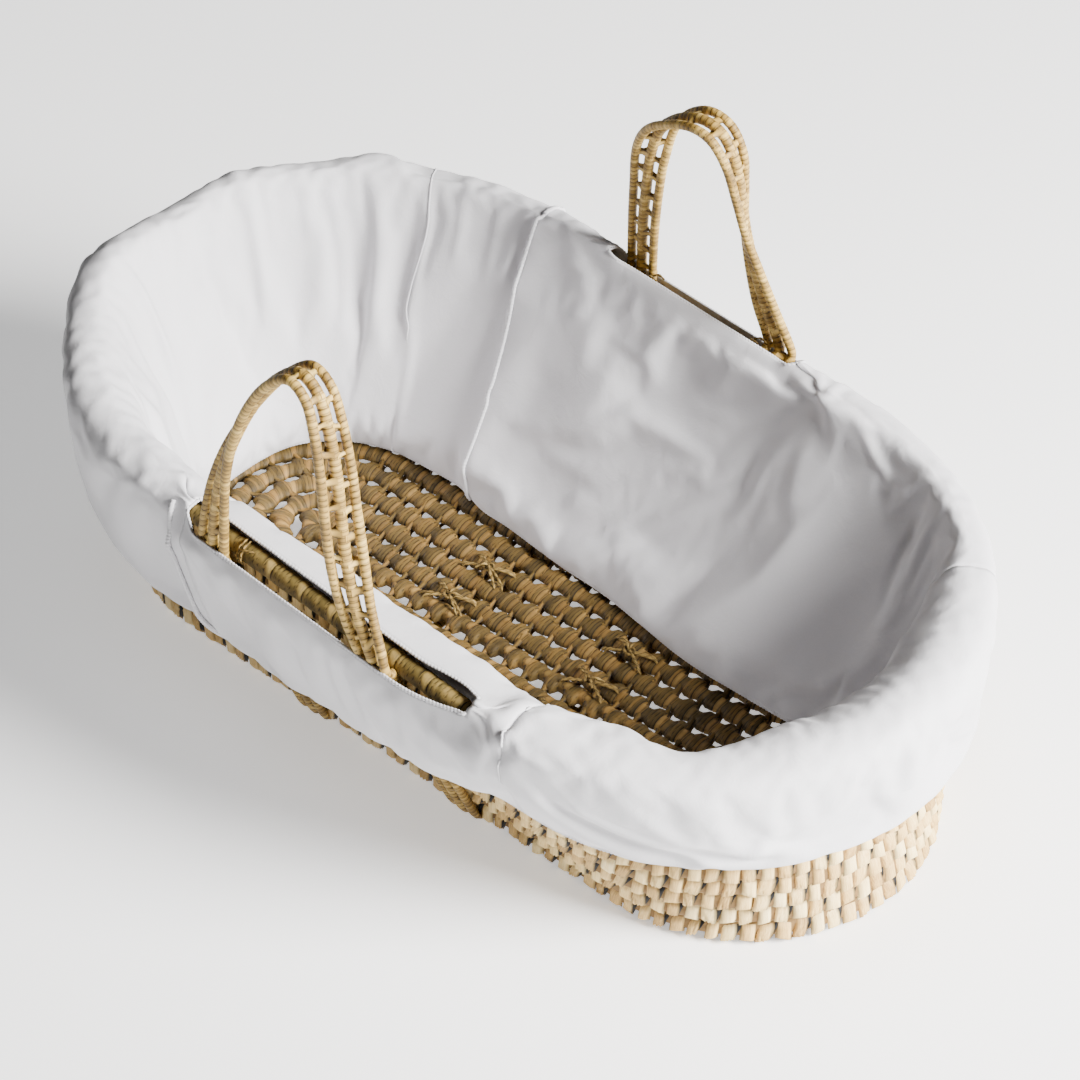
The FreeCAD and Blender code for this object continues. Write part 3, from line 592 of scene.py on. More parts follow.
def handle_points(handle, body):
    """The strap's middle line above the hinge, in its own leaning plane."""
    hinge = Vector((math.cos(math.atan(rim_fall)), 0, -math.sin(math.atan(rim_fall))))
    lean = math.radians(handle["lean"])
    side = handle["side"]
    upright = Vector((0, -side * math.sin(lean), math.cos(lean)))
    upright = (upright - hinge * upright.dot(hinge)).normalized()
    inward = hinge.cross(upright) * side
    root = Vector(joints[body]["pos_m"])
    head = HEAD_LEG / hinge.x
    foot = handle["foot_leg"] / hinge.x
    middle, half = (head + foot) / 2, (foot - head) / 2
    flat = [(middle + half * along, handle["rise"] * up, twist) for along, up, twist in handle["loop"]]
    points, lower, higher = [], [], []
    for index, (along, up, twist) in enumerate(flat):
        before, after = flat[max(index - 1, 0)], flat[min(index + 1, len(flat) - 1)]
        run = Vector((after[0] - before[0], after[1] - before[1])).normalized()
        if index in (0, len(flat) - 1):
            run = Vector((0, 1 if index == 0 else -1))
        turn = math.radians(twist)
        across = hinge * (-math.cos(turn) * run.y) + upright * (math.cos(turn) * run.x) + inward * math.sin(turn)
        points.append((root + hinge * along + upright * up, across))
    for index, leg in ((0, HEAD_LEG), (-1, handle["foot_leg"])):
        for drop in (0.010, 0.022, 0.034):
            height = root.z - rim_fall * leg - drop
            below = Vector((leg, side * (LEG_FOOT_OUT + LEG_LEAN * height), height))
            if index == 0:
                lower.insert(0, (below, points[0][1]))
            else:
                higher.append((below, points[-1][1]))
    return lower + points + higher


for number, (name, handle) in enumerate(HANDLES.items()):
    body = f"{name}_handle"
    strap = new_piece(f"{body}_strap", strap_mesh(handle_points(handle, body), 500 + number), strap_leaf, None, False)
    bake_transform(strap)
    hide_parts(*[f"{body}_{cord}" for cord in ("outer_cord", "middle_cord", "inner_cord", "ties")])


def under_points(strap_name, near_leg, far_leg):
    """The strap's middle line from the near rim down the wall, under the floor and up to the far rim."""
    low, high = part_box(f"{strap_name}_near_leg")
    far_low, far_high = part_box(f"{strap_name}_far_leg")
    top_near = Vector((near_leg, low[1] + 4.7 * mm, high[2])) - Vector((0, -LEG_LEAN, 1)) * 26 * mm
    top_far = Vector((far_leg, far_high[1] - 4.7 * mm, far_high[2])) - Vector((0, LEG_LEAN, 1)) * 26 * mm
    foot_near = Vector((near_leg, high[1] - 5.2 * mm, 14 * mm))
    foot_far = Vector((far_leg, far_low[1] + 5.2 * mm, 14 * mm))
    across = Vector((1, 0, 0))
    flat = 3.1 * mm
    points = [top_near, top_near.lerp(foot_near, 0.25), top_near.lerp(foot_near, 0.5),
              top_near.lerp(foot_near, 0.75), foot_near,
              Vector((near_leg, foot_near.y + 5 * mm, 5.5 * mm)), Vector((near_leg, foot_near.y + 16 * mm, flat)),
              Vector((near_leg * 0.75 + far_leg * 0.25, foot_near.y * 0.5, flat)),
              Vector(((near_leg + far_leg) / 2, 0, flat)),
              Vector((near_leg * 0.25 + far_leg * 0.75, foot_far.y * 0.5, flat)),
              Vector((far_leg, foot_far.y - 16 * mm, flat)), Vector((far_leg, foot_far.y - 5 * mm, 5.5 * mm)),
              foot_far, foot_far.lerp(top_far, 0.25), foot_far.lerp(top_far, 0.5),
              foot_far.lerp(top_far, 0.75), top_far]
    return [(point, across) for point in points]


def flat_under_floor(point):
    """How thin the strap is pressed: full on the wall, flat under the floor."""
    share = min(max((point.z - 3 * mm) / (11 * mm), 0.0), 1.0)
    return 0.58 + 0.42 * share


for number, (name, near_leg, far_leg) in enumerate((
    ("head_strap", HEAD_LEG, HEAD_LEG), ("foot_strap", 90 * mm, 69 * mm),
)):
    mesh = strap_mesh(under_points(name, near_leg, far_leg), 600 + number, flat_under_floor)
    strap = new_piece(f"{name}_round_basket", mesh, strap_leaf, BASKET, False)
    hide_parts(f"{name}_near_leg", f"{name}_far_leg", f"{name}_under_floor")

# ---------------------------------------------------------------------------
# Raffia ties. Twisted strands of raffia sew the strap to the floor in crossed stitches,
# each knotted with its ends left loose, and tie the strap's legs to the rim coil.

raffia = leaf_material("raffia", (
    (0.0, (0.08, 0.05, 0.012)), (0.5, (0.22, 0.14, 0.038)), (1.0, (0.40, 0.27, 0.085)),
), roughness=0.7)


def add_strand(bm, points, radius, seed, twist=7 * mm):
    """A flat-sided twisted strand along some points, thinner at its ends."""
    route, length = smooth_route([(point, Vector((0.3, 0.2, 1.0))) for point in points], 1.6 * mm)
    count = len(route) - 1
    rng = random.Random(seed)
    tone, start = rng.uniform(0.3, 0.9), rng.uniform(0, 6)

    def place(a, b):
        index = min(int(a * count + 0.5), count)
        centre, upward = route[index]
        run = (route[min(index + 1, count)][0] - route[max(index - 1, 0)][0]).normalized()
        side = run.cross(upward).normalized()
        face = side.cross(run)
        angle = 2 * math.pi * b
        spin = start + index * 1.6 * mm / twist * math.pi
        size = radius * (0.55 + 0.45 * min(1.0, 6 * a, 6 * (1 - a)))
        wide, tall = size * math.cos(angle), size * 0.55 * math.sin(angle)
        point = centre + side * (wide * math.cos(spin) - tall * math.sin(spin)) + face * (wide * math.sin(spin) + tall * math.cos(spin))
        return point, (tone, b * 2 % 1.0, a * 6, 1.0)

    strand_bm = grid_of(count, 6, place, False, True)
    strand_mesh = bpy.data.meshes.new("strand")
    strand_bm.to_mesh(strand_mesh)
    strand_bm.free()
    bm.from_mesh(strand_mesh)
    bpy.data.meshes.remove(strand_mesh)


floor_top = floor_high[2]
stitches = bmesh.new()
stitches.verts.layers.float_color.new("lay")
rng = random.Random(41)
for x in (HEAD_LEG, 79.5 * mm):
    for y in (-50 * mm, 0.0, 50 * mm):
        centre = Vector((x, y, floor_top))
        for number, (slant_x, slant_y) in enumerate(((24, 9.5), (22, 12), (-23, 10), (-21, 12))):
            reach = Vector((slant_x, slant_y, 0)) * mm
            shift = Vector((rng.uniform(-2, 2), rng.uniform(-2, 2), 0)) * mm
            add_strand(stitches, [
                centre - reach + shift + Vector((0, 0, -7 * mm)), centre - reach * 0.86 + shift + Vector((0, 0, 1.5 * mm)),
                centre + shift * 0.3 + Vector((0, 0, (3.2 + number * 0.7) * mm)), centre + reach * 0.86 + Vector((0, 0, 1.5 * mm)),
                centre + reach + Vector((0, 0, -7 * mm)),
            ], 1.7 * mm, number + int(y * 1000) + int(x * 1000))
        for number in range(2):
            turn = rng.uniform(0, 2 * math.pi)
            end = Vector((math.cos(turn), math.sin(turn), 0)) * rng.uniform(8, 15) * mm
            add_strand(stitches, [
                centre + Vector((0, 0, 5.2 * mm)), centre + end * 0.3 + Vector((0, 0, 8.5 * mm)),
                centre + end + Vector((0, 0, rng.uniform(3, 9) * mm)),
            ], 1.5 * mm, 70 + number)
        add_strand(stitches, [centre + Vector((5 * math.cos(k * 1.05), 4.2 * math.sin(k * 1.05), 5.0 + 0.7 * math.sin(k * 2.1))) * mm for k in range(7)], 1.7 * mm, 90)
floor_stitches = new_piece("raffia_floor_stitches", stitches, raffia, BASKET)
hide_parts("floor_ties")

rings = bmesh.new()
rings.verts.layers.float_color.new("lay")
for side in (-1, 1):
    for leg in (HEAD_LEG, HANDLES["near" if side < 0 else "far"]["foot_leg"]):
        x = leg + (20.5 * mm if leg < 0 else -20.5 * mm)
        centre = Vector((x, side * rim_radius, rim_middle - rim_fall * x))
        for number in range(2):
            arc = []
            for step in range(6):
                turn = math.radians((-38 if side < 0 else -45) + step * (27 if side < 0 else 20))
                arc.append(centre + Vector(((number * 4 - 2) * mm, side * math.cos(turn) * 11.0 * mm, math.sin(turn) * 11.0 * mm)))
            add_strand(rings, arc, 1.5 * mm, 120 + number)
        tail = centre + Vector((0, side * 9.0 * mm, 8.0 * mm))
        add_strand(rings, [tail, tail + Vector((6, side * 1.0, 3)) * mm, tail + Vector((15, side * -2.0, 4)) * mm], 1.4 * mm, 130)
rim_rings = new_piece("raffia_rim_ties", rings, raffia, BASKET)
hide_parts("rim_ties")

# ---------------------------------------------------------------------------
# Liner. A loose sock of white cotton, sewn from panels, covers the inside, rolls over
# the rim and hangs down outside to an elastic hem. Each long side has a slit for a
# handle, with the outer part hanging as a flap over the strap.

cotton, cotton_nodes, cotton_shader = new_material("white cotton", 0.86, sheen=0.12, specular=0.18)
cotton_link = cotton.node_tree.links.new
cotton_where = cotton_nodes.make("ShaderNodeTexCoord", {}, {}, "Object")
slub = cotton_nodes.make("ShaderNodeTexNoise", {}, {"Vector": cotton_where, "Scale": 900.0, "Detail": 2.0})
crumple = cotton_nodes.make("ShaderNodeTexNoise", {}, {"Vector": cotton_where, "Scale": 42.0, "Detail": 5.0, "Roughness": 0.6, "Distortion": 0.6})
wash = cotton_nodes.make("ShaderNodeTexNoise", {}, {"Vector": cotton_where, "Scale": 7.0, "Detail": 2.0})
cotton_colour = cotton_nodes.make("ShaderNodeValToRGB", {"stops": (
    (0.25, (0.575, 0.567, 0.585)), (0.75, (0.675, 0.668, 0.69)),
)}, {"Fac": wash * 0.7 + slub * 0.3})
cotton_link(cotton_colour.socket, cotton_shader.inputs["Base Color"])
cotton_link((slub * 0.12 + 0.78).socket, cotton_shader.inputs["Roughness"])
cotton_relief = cotton_nodes.make("ShaderNodeBump", {}, {"Height": crumple, "Strength": 0.5, "Distance": 1.6 * mm})
cotton_weave = cotton_nodes.make("ShaderNodeBump", {}, {"Height": slub, "Strength": 0.25, "Distance": 0.25 * mm, "Normal": cotton_relief})
cotton_link(cotton_weave.socket, cotton_shader.inputs["Normal"])

RIM_LENGTH = rim_oval.length


def near_at(x):
    return x


def bend_at(degrees):
    """The station round the rim at an angle on the foot's bend (-90 to 90) or the head's (90 to 270)."""
    if degrees <= 90:
        return rim_straight + rim_radius * math.radians(degrees + 90)
    return 3 * rim_straight + math.pi * rim_radius + rim_radius * math.radians(degrees - 90)


def far_at(x):
    return 2 * rim_straight + math.pi * rim_radius - x


def around(*marks):
    """A size that changes smoothly from mark to mark round the rim; each mark is (station, size)."""
    marks = sorted((station % RIM_LENGTH, size) for station, size in marks)
    marks.append((marks[0][0] + RIM_LENGTH, marks[0][1]))

    def size_at(station):
        station %= RIM_LENGTH
        if station < marks[0][0]:
            station += RIM_LENGTH
        for (start, first), (end, second) in zip(marks, marks[1:]):
            if station <= end:
                share = (station - start) / (end - start)
                return first + (second - first) * share * share * (3 - 2 * share)
        return marks[-1][1]

    return size_at


def bump(value, middle, half):
    """1 at the middle, falling smoothly to 0 at half either side."""
    share = min(abs(value - middle) / half, 1.0)
    return 1 - share * share * (3 - 2 * share)


roll_inner = around(
    (near_at(-0.16), -0.036), (near_at(-0.10), -0.034), (near_at(0), -0.038), (near_at(0.10), -0.044),
    (near_at(0.16), -0.048), (bend_at(-63), -0.058), (bend_at(-46), -0.036), (bend_at(-24), -0.050),
    (bend_at(20), -0.046), (bend_at(38), -0.034), (bend_at(52), -0.012), (far_at(0.10), -0.011),
    (far_at(-0.17), -0.012), (bend_at(115), -0.020), (bend_at(150), -0.020), (bend_at(200), -0.026),
    (bend_at(235), -0.036),
)
roll_top = around(
    (near_at(-0.17), 0.251), (near_at(0.2), 0.253), (bend_at(-40), 0.250), (bend_at(-10), 0.256),
    (bend_at(45), 0.251), (bend_at(75), 0.250), (far_at(-0.15), 0.252), (bend_at(100), 0.247),
    (bend_at(120), 0.247), (bend_at(133), 0.255), (bend_at(146), 0.249), (bend_at(164), 0.254),
    (bend_at(180), 0.249), (bend_at(203), 0.258), (bend_at(222), 0.251),
)
roll_outer = around(
    (near_at(0), 0.018), (bend_at(-40), 0.016), (bend_at(10), 0.021), (bend_at(45), 0.020), (far_at(0), 0.017),
    (bend_at(120), 0.014), (bend_at(164), 0.018), (bend_at(180), 0.014), (bend_at(203), 0.024), (bend_at(225), 0.016),
)
floor_inset = around(
    (near_at(-0.2), 0.050), (near_at(0.2), 0.075), (bend_at(-30), 0.070), (bend_at(40), 0.080),
    (far_at(0.16), 0.082), (far_at(-0.02), 0.062), (far_at(-0.15), 0.052), (bend_at(100), 0.040), (bend_at(130), 0.044),
    (bend_at(150), 0.046), (bend_at(180), 0.056), (bend_at(220), 0.050),
)
hem_height = around(
    (near_at(-0.21), 0.080), (near_at(-0.08), 0.087), (near_at(0.05), 0.096), (near_at(0.136), 0.103),
    (bend_at(-75), 0.112), (bend_at(0), 0.110), (bend_at(60), 0.100), (far_at(0.1), 0.092), (far_at(-0.1), 0.090),
    (bend_at(180), 0.094), (bend_at(225), 0.098), (bend_at(250), 0.086),
)
off_wall = around(
    (near_at(-0.146), 0.0115), (near_at(-0.138), 0.0175), (near_at(-0.12), 0.021), (near_at(0.12), 0.021), (near_at(0.19), 0.0105),
    (bend_at(0), 0.0105), (far_at(0.15), 0.012), (far_at(0.10), 0.021), (far_at(-0.12), 0.021), (far_at(-0.17), 0.0105),
    (bend_at(180), 0.0100),
)
NEAR_SLIT = (near_at(-0.124), near_at(0.184))
FAR_SLIT = (far_at(0.100), far_at(-0.110))


def slit_of(station):
    """How open the slit is here (0 to 1), and how far the roll is drawn together at its ends (0 to 1)."""
    opened = drawn = 0.0
    for (start, end), taper in ((NEAR_SLIT, 0.075), (FAR_SLIT, 0.030)):
        place = (station - start + RIM_LENGTH / 2) % RIM_LENGTH - RIM_LENGTH / 2 + start
        for inside, reach in ((place - start, 0.022), (end - place, taper)):
            if inside == min(place - start, end - place):
                share = min(max(inside / reach, 0.0), 1.0)
                opened = max(opened, share * (2 - share))
                drawn = max(drawn, 1 - share * (2 - share) if inside > 0 else bump(inside, 0.0, 0.035))
    return opened, drawn


def liner_marks(station):
    """The liner's outline across the rim at a station, from its hem on the floor to its outer hem."""
    share = station / RIM_LENGTH
    opened, drawn = slit_of(station)
    on_far_side = FAR_SLIT[0] - 0.05 < station % RIM_LENGTH < FAR_SLIT[1] + 0.05
    inner, top, outer = roll_inner(station), roll_top(station), roll_outer(station)

    def rim(out, height):
        return rim_oval.spot(station, out, height - rim_middle)[0]

    def wall(height, out):
        x = rim_oval.spot(station)[0].x
        part = (height - wall_foot) / (wall_top - wall_foot - rim_fall * x)
        oval = course_oval(part)
        return oval.spot(share * oval.length, out)[0]

    hem = Oval(base_straight, base_radius, 0.0275).spot(share * (4 * base_straight + 2 * math.pi * base_radius), -floor_inset(station))[0]
    shoulder = rim(min(inner - 0.004, -0.0215), 0.198)
    rolled = [rim(min(inner, -0.0145), 0.224), rim(min(inner * 0.62, -0.0095), 0.2435), rim(inner * 0.15 - 0.002, top),
              rim(outer * 0.6, top - 0.003), rim(outer, 0.236), rim(outer - 0.004, 0.208)]
    if on_far_side:
        slit = [rim(-0.0128, 0.231), rim(-0.001, 0.2462), rim(0.008, 0.243), rim(0.018, 0.235), rim(0.0245, 0.229), rim(0.0225, 0.205)]
    else:
        slit = [rim(inner, 0.231), rim(-0.0045, 0.2475), rim(0.006, 0.246), rim(0.015, 0.2445), rim(0.0228, 0.2400), rim(0.0225, 0.211)]
    drawn_in = [rim(min(inner, -0.0145), 0.226), rim(0.000, 0.2515), rim(0.0035, 0.2512), rim(0.007, 0.250), rim(0.0105, 0.2485), rim(0.0185, 0.208)]
    middle = [closed.lerp(open_one, opened).lerp(pulled, drawn) for closed, open_one, pulled in zip(rolled, slit, drawn_in)]
    low = hem_height(station)
    outside = [wall(low + 0.60 * (0.19 - low), off_wall(station) + 0.0025 * (1 - opened)), wall(low, off_wall(station))]
    sag = (shoulder - hem).cross(rim_oval.spot(station)[1]).normalized()
    inside = [hem, hem.lerp(shoulder, 0.34) + sag * -0.006, hem.lerp(shoulder, 0.68) + sag * -0.006, shoulder]
    return inside + middle + outside


ROWS_BETWEEN = (8, 8, 8, 4, 4, 4, 3, 3, 4, 7, 13)
COLUMNS = 300
INNER_EDGE_ROW = sum(ROWS_BETWEEN[:5])
OUTER_EDGE_ROW = sum(ROWS_BETWEEN[:8])
ROWS = sum(ROWS_BETWEEN)
outlines = {}


def liner_place(a, b):
    """A point of the liner: a is the share of the way round, b the share of the rows across."""
    column = round(a * COLUMNS) % COLUMNS
    if column not in outlines:
        outlines[column] = liner_marks(column * RIM_LENGTH / COLUMNS)
    marks = outlines[column]
    row = round(b * ROWS)
    span = 0
    while span < len(ROWS_BETWEEN) - 1 and row > sum(ROWS_BETWEEN[:span + 1]):
        span += 1
    t = (row - sum(ROWS_BETWEEN[:span])) / ROWS_BETWEEN[span]
    before, start = marks[max(span - 1, 0)], marks[span]
    end, after = marks[span + 1], marks[min(span + 2, len(marks) - 1)]
    point = before * (-0.5 * t + t * t - 0.5 * t ** 3) + start * (1 - 2.5 * t * t + 1.5 * t ** 3)
    point += end * (0.5 * t + 2 * t * t - 1.5 * t ** 3) + after * (-0.5 * t * t + 0.5 * t ** 3)
    return point, (column / COLUMNS, row / ROWS, 0.0, 1.0)


def crease(value, sharpness=0.55):
    """A fold's height from a wave or noise value: broad hollows between narrower crests."""
    return (1 - abs(value)) ** (1 / sharpness) if abs(value) < 1 else 0.0


def fold_height(station, row):
    """How far the cloth stands proud of its smooth outline, in metres."""
    across = row / ROWS
    inside = 1.0 if row <= INNER_EDGE_ROW else 0.0
    wall_part = bump(row, 12, 16)
    roll_part = bump(row, 31, 13)
    skirt_part = bump(row, 52, 14)
    height = 0.0
    height += 6.0 * mm * wall_part * noise.noise(Vector((station * 9.0, across * 3.2, 1.3)))
    height += 3.0 * mm * wall_part * noise.noise(Vector((station * 24.0 + across * 6, across * 4.0, 7.1)))
    gathers = noise.noise(Vector((station * 55.0, across * 5.0, 4.4)))
    height += 2.4 * mm * roll_part * (crease(gathers * 2.2) - 0.4) * (0.4 + 0.9 * abs(noise.noise(Vector((station * 8, 2.0, 9.0)))))
    height += 3.2 * mm * roll_part * noise.noise(Vector((station * 17.0, across * 6.0, 5.9)))
    height += 3.0 * mm * skirt_part * noise.noise(Vector((station * 15.0 - across * 11.0, across * 3.0, 8.2)))
    height += 1.0 * mm * skirt_part * noise.noise(Vector((station * 60.0, across * 4.0, 3.2)))
    overlap = round(far_at(-0.179) / RIM_LENGTH * COLUMNS) * RIM_LENGTH / COLUMNS
    if station <= overlap + 2 * mm:
        height += 3.6 * mm * bump(min(station, overlap), overlap, 0.045) * inside
    pleat = bend_at(121) - 0.012 * bump(row, 0, 30)
    height += 4.5 * mm * bump(station, pleat, 0.007) * bump(row, 18, 22)
    tip = bend_at(133)
    height += 7.0 * mm * bump(station, tip - 0.030 * (1 - across * 2), 0.028) * bump(row, 22, 15)
    height -= 5.0 * mm * bump(station, tip + 0.014, 0.020) * bump(row, 20, 16)
    for corner in (bend_at(164), bend_at(203)):
        height += 5.0 * mm * bump(station, corner, 0.012) * bump(row, 30, 13)
    for notch in (bend_at(-46), bend_at(40)):
        height -= 8.0 * mm * bump(station, notch, 0.012) * bump(row, 29, 11)
    seam = bend_at(-79)
    height -= 2.5 * mm * bump(station, seam, 0.006) * bump(row, 32, 12)
    return height


def fold_cloth(bm):
    """Moves the liner's points in and out along its normals by the fold height."""
    lay = bm.verts.layers.float_color["lay"]
    bm.normal_update()
    moves = []
    for vert in bm.verts:
        station = vert[lay][0] * RIM_LENGTH
        row = round(vert[lay][1] * ROWS)
        opened = slit_of(station)[0]
        edge = min(row, ROWS - row, 4) / 4
        held = edge * (1 - 0.75 * opened)
        height = fold_height(station, row)
        if 16 < row < INNER_EDGE_ROW + 4 or row > OUTER_EDGE_ROW:
            height = max(height, -1.2 * mm)
        moves.append((vert, vert.normal * height * held))
    for vert, move in moves:
        vert.co += move


liner = grid_of(COLUMNS, ROWS, liner_place, closed_along=True)
bmesh.ops.recalc_face_normals(liner, faces=liner.faces)
lay = liner.verts.layers.float_color["lay"]
facing = sum(face.normal.dot(face.calc_center_median() - Vector((0, 0, 0.05))) for face in liner.faces if face.verts[0][lay][1] > 0.7)
if facing < 0:
    bmesh.ops.reverse_faces(liner, faces=liner.faces)
slit_faces = []
for face in liner.faces:
    rows = [round(vert[lay][1] * ROWS) for vert in face.verts]
    column = [vert[lay][0] for vert in face.verts]
    at = (sum(column) / 4 if max(column) - min(column) < 0.5 else 0.9983) * RIM_LENGTH
    if min(rows) >= INNER_EDGE_ROW and max(rows) <= OUTER_EDGE_ROW:
        if NEAR_SLIT[0] % RIM_LENGTH < at or at < NEAR_SLIT[1] or FAR_SLIT[0] < at < FAR_SLIT[1]:
            slit_faces.append(face)
bmesh.ops.delete(liner, geom=slit_faces, context="FACES")
fold_cloth(liner)

PANELS = {
    "head": (far_at(-0.179), near_at(-0.124), ("liner_head_panel", "skirt_head", "rim_roll_head")),
    "near": (near_at(-0.124), bend_at(-79), ("liner_near_panel", "skirt_near_flap")),
    "foot": (bend_at(-79), bend_at(40), ("liner_foot_panel", "skirt_foot", "rim_roll_foot")),
    "far": (bend_at(40), far_at(-0.179), ("liner_far_panel", "skirt_far_flap")),
}
whole_mesh = bpy.data.meshes.new("liner")
liner.to_mesh(whole_mesh)
liner.free()


def settle_cloth(mesh):
    """Lets the loose cotton crease and settle on the basket, and keeps the result in its mesh."""
    cloth = bpy.data.objects.new("cloth", mesh)
    form_mesh = mesh.copy()
    normals = [vert.normal.copy() for vert in mesh.vertices]
    for vert, normal in zip(form_mesh.vertices, normals):
        vert.co -= normal * 3.0 * mm
    form = bpy.data.objects.new("form", form_mesh)
    for item in (cloth, form):
        bpy.context.collection.objects.link(item)
    form.modifiers.new("collision", "COLLISION")
    form.collision.thickness_outer = 1.0 * mm
    form.collision.cloth_friction = 12
    marks = [(mark.color[0] * RIM_LENGTH, round(mark.color[1] * ROWS)) for mark in mesh.attributes["lay"].data]
    start = [vert.co.copy() for vert in mesh.vertices]
    held = cloth.vertex_groups.new(name="held")
    for index, (station, row) in enumerate(marks):
        opened, drawn = slit_of(station)
        weight = 1.0 if row <= 0 or row >= ROWS - 1 else 0.0
        if opened > 0.02 and INNER_EDGE_ROW - 3 <= row <= OUTER_EDGE_ROW + 1:
            weight = 1.0
        weight = max(weight, drawn if INNER_EDGE_ROW - 2 <= row <= OUTER_EDGE_ROW + 2 else 0.0)
        held.add([index], weight, "REPLACE")
    modifier = cloth.modifiers.new("cloth", "CLOTH")
    settings = modifier.settings
    settings.quality = 6
    settings.mass = 0.12
    settings.tension_stiffness = 20
    settings.compression_stiffness = 12
    settings.shear_stiffness = 5
    settings.bending_stiffness = 0.12
    settings.air_damping = 2.0
    settings.vertex_group_mass = "held"
    settings.shrink_min = -0.05
    settings.effector_weights.gravity = 0.3
    modifier.collision_settings.distance_min = 1.0 * mm
    modifier.collision_settings.collision_quality = 3
    modifier.point_cache.frame_end = 60
    scene = bpy.context.scene
    for step in range(1, SETTLE_STEPS + 1):
        scene.frame_set(step)
    settled = cloth.evaluated_get(bpy.context.evaluated_depsgraph_get()).data
    for index, vert in enumerate(mesh.vertices):
        move = settled.vertices[index].co - start[index]
        if move.length > 16 * mm:
            move = move.normalized() * 16 * mm
        vert.co = start[index] + move
    for item in (cloth, form):
        bpy.data.objects.remove(item)
    scene.frame_set(1)


SETTLE_STEPS = 26
settle_cloth(whole_mesh)

for name, (start, end, nodes) in PANELS.items():
    bm = bmesh.new()
    bm.from_mesh(whole_mesh)
    lay = bm.verts.layers.float_color["lay"]
    others = []
    for face in bm.faces:
        column = [vert[lay][0] for vert in face.verts]
        at = (sum(column) / 4 if max(column) - min(column) < 0.5 else 0.9983) * RIM_LENGTH
        if (at - start) % RIM_LENGTH > (end - start) % RIM_LENGTH:
            others.append(face)
    bmesh.ops.delete(bm, geom=others, context="FACES")
    panel = new_piece(f"liner_{name}_cloth", bm, cotton, outward=False)
    smooth = panel.modifiers.new("smooth", "SUBSURF")
    smooth.levels = smooth.render_levels = 1
    thick = panel.modifiers.new("thickness", "SOLIDIFY")
    thick.thickness = 1.0 * mm
    thick.offset = 1.0
    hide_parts(*nodes)

# ---------------------------------------------------------------------------
# Hems and seams. The cut edges of the cotton are turned and overlocked, which makes a
# narrow raised edge with close stitches. The outer hem holds the elastic.

grid_points = {}
whole_lay = whole_mesh.attributes["lay"].data
for vert in whole_mesh.vertices:
    mark = whole_lay[vert.index].color
    grid_points[(round(mark[0] * COLUMNS) % COLUMNS, round(mark[1] * ROWS))] = (vert.co.copy(), vert.normal.copy())


def column_at(station):
    return round(station / RIM_LENGTH * COLUMNS) % COLUMNS


def edge_points(columns, rows, lift=0.0):
    """Points of the settled cloth, one for each column and row given, lifted along its normal."""
    found = [grid_points[(column % COLUMNS, row)] for column, row in zip(columns, rows)]
    return [(place + normal * lift, normal) for place, normal in found]


def sewn_edge(name, points, radius, flat=0.75, stitch=3.2 * mm, closed=False, depth=0.16):
    """An overlocked edge along some points: a soft cord with a swelling at every stitch."""
    if closed:
        points = points + points[:1]
    route, length = smooth_route(points, stitch / 4)
    count = len(route) - 1

    def place(a, b):
        index = min(int(a * count + 0.5), count)
        centre, normal = route[index]
        run = (route[min(index + 1, count)][0] - route[max(index - 1, 0)][0]).normalized()
        side = run.cross(normal).normalized()
        face = side.cross(run)
        angle = 2 * math.pi * b
        swell = radius * (1 + depth * math.sin(index * math.pi / 2 + angle))
        point = centre + side * math.cos(angle) * swell + face * math.sin(angle) * swell * flat
        return point, (index * stitch / 4 / RIM_LENGTH, b, 0.0, 1.0)

    bm = grid_of(count, 8, place, closed, True)
    if not closed:
        bmesh.ops.holes_fill(bm, edges=[edge for edge in bm.edges if edge.is_boundary], sides=0)
    edge = new_piece(name, bm, cotton)
    return edge


round_columns = list(range(COLUMNS))
outer_hem = sewn_edge("elastic_hem", edge_points(round_columns, [ROWS] * COLUMNS), 1.9 * mm, closed=True)
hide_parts("hem_elastic")
floor_hem = sewn_edge("floor_hem", edge_points(round_columns, [0] * COLUMNS), 1.6 * mm, closed=True)


def slit_edge(name, slit, radius):
    first, last = column_at(slit[0]), column_at(slit[1])
    if last < first:
        last += COLUMNS
    there = list(range(first, last + 1))
    points = edge_points(there, [INNER_EDGE_ROW] * len(there))
    points += edge_points(there[::-1], [OUTER_EDGE_ROW] * len(there))
    return sewn_edge(name, points, radius, closed=True)


near_hem = slit_edge("near_slit_hem", (NEAR_SLIT[0] % RIM_LENGTH, NEAR_SLIT[1]), 1.7 * mm)
far_hem = slit_edge("far_slit_hem", FAR_SLIT, 1.5 * mm)
overlap = column_at(far_at(-0.179))
side_hem = sewn_edge("side_panel_hem", edge_points([overlap] * (ROWS + 1), range(ROWS + 1), 1.6 * mm), 2.3 * mm, flat=0.8)
flap_end = column_at(near_at(-0.138))
rows_down = range(OUTER_EDGE_ROW, ROWS + 1)
flap_hem = sewn_edge("flap_end_hem", edge_points([flap_end] * len(rows_down), rows_down, 1.8 * mm), 2.4 * mm, flat=0.9)
foot_seam = column_at(bend_at(-79))
rows_down = range(16, ROWS + 1)
seam = sewn_edge("foot_seam", edge_points([foot_seam] * len(rows_down), rows_down, 0.6 * mm), 1.0 * mm)
head_tuck = column_at(bend_at(121))
rows_down = range(0, OUTER_EDGE_ROW)
tuck = sewn_edge("head_tuck_seam", edge_points([head_tuck] * len(rows_down), rows_down, 0.4 * mm), 0.9 * mm)

# ---------------------------------------------------------------------------
# Studio: a plain pale floor, one big soft light from the foot side, and a camera.

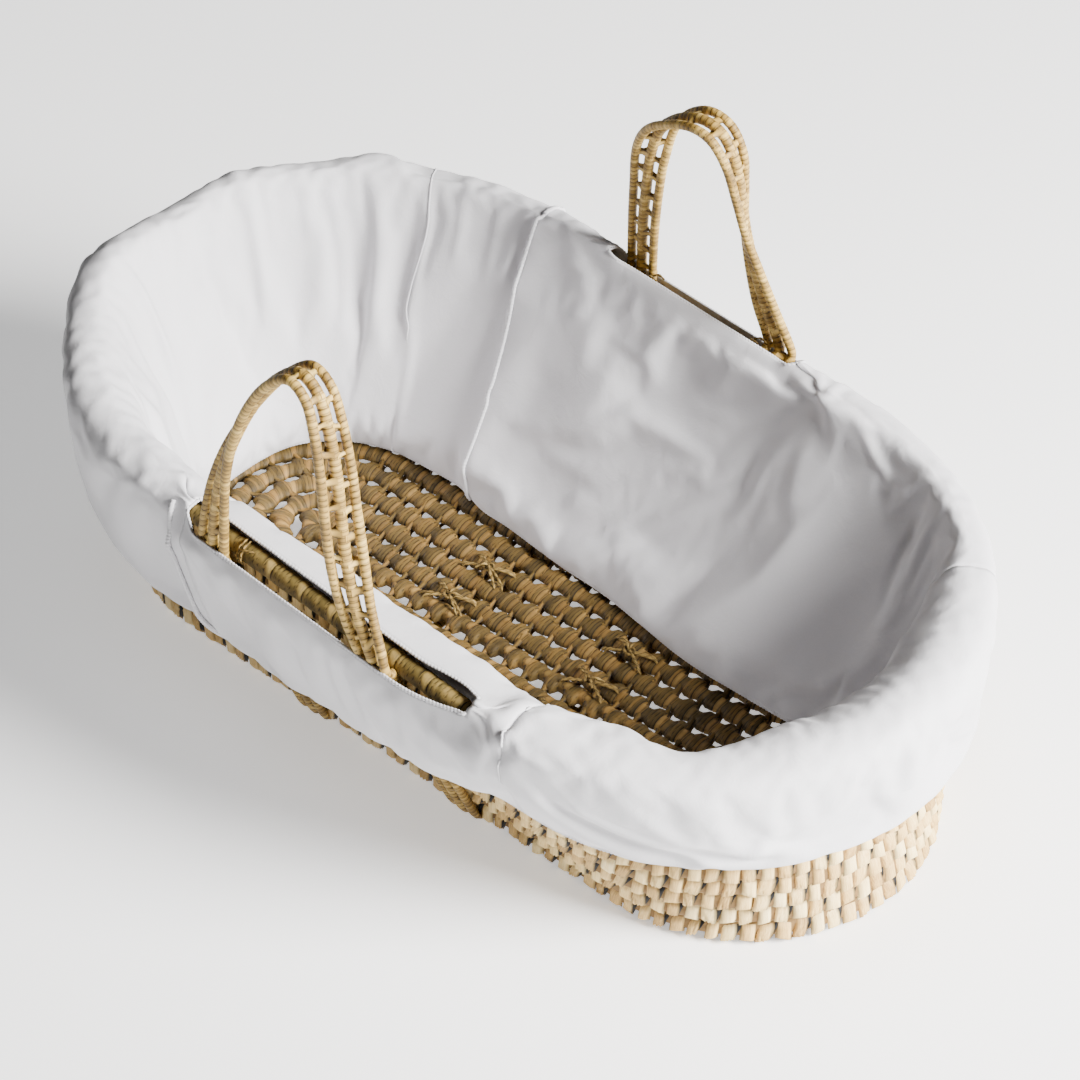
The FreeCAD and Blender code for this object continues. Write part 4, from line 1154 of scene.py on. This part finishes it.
stage_bm = bmesh.new()
bmesh.ops.create_grid(stage_bm, x_segments=1, y_segments=1, size=12.0)
stage_mesh = bpy.data.meshes.new("studio_floor")
stage_bm.to_mesh(stage_mesh)
stage_bm.free()
stage_material, stage_nodes, stage_shader = new_material("pale floor", 0.9, specular=0.1)
stage_shader.inputs["Base Color"].default_value = (0.94, 0.94, 0.94, 1)
stage_shader.inputs["Emission Color"].default_value = (1, 1, 1, 1)
stage_shader.inputs["Emission Strength"].default_value = 0.64
stage_mesh.materials.append(stage_material)
studio_floor = bpy.data.objects.new("studio_floor", stage_mesh)
bpy.context.collection.objects.link(studio_floor)

world = bpy.data.worlds.new("studio")
world.use_nodes = True
world.node_tree.nodes["Background"].inputs["Color"].default_value = (1.0, 1.0, 1.0, 1)
world.node_tree.nodes["Background"].inputs["Strength"].default_value = 0.03
bpy.context.scene.world = world


def soft_light(name, place, aim, size, power, colour=(1, 1, 1)):
    light = bpy.data.lights.new(name, "AREA")
    light.shape = "DISK"
    light.size = size
    light.energy = power
    light.color = colour
    lamp = bpy.data.objects.new(name, light)
    bpy.context.collection.objects.link(lamp)
    lamp.location = place
    lamp.rotation_euler = (Vector(aim) - Vector(place)).to_track_quat("-Z", "Y").to_euler()


soft_light("key", (3.1, 0.9, 1.85), (0, 0, 0.15), 1.8, 840, (1.0, 0.985, 0.965))
soft_light("top", (-0.3, 0.2, 3.4), (0, 0, 0.15), 2.6, 2, (0.93, 0.94, 1.0))

AZIMUTH = math.radians(43.925)
ELEVATION = math.radians(40.319)
ROLL = math.radians(-1.49)
FOCAL_SHARE = 3235.2 / 1080
back = Vector((math.sin(AZIMUTH) * math.cos(ELEVATION), -math.cos(AZIMUTH) * math.cos(ELEVATION), math.sin(ELEVATION)))
right = Vector((math.cos(AZIMUTH), math.sin(AZIMUTH), 0))
up = back.cross(right)
right, up = right * math.cos(ROLL) + up * math.sin(ROLL), up * math.cos(ROLL) - right * math.sin(ROLL)
camera_data = bpy.data.cameras.new("camera")
camera_data.sensor_width = 36
camera_data.lens = 36 * FOCAL_SHARE
camera = bpy.data.objects.new("camera", camera_data)
bpy.context.collection.objects.link(camera)
turn = Matrix((right, up, back)).transposed()
camera.matrix_world = Matrix.Translation(Vector((0, 0.026, 0.124)) + back * 2.736) @ turn.to_4x4()
bpy.context.scene.camera = camera
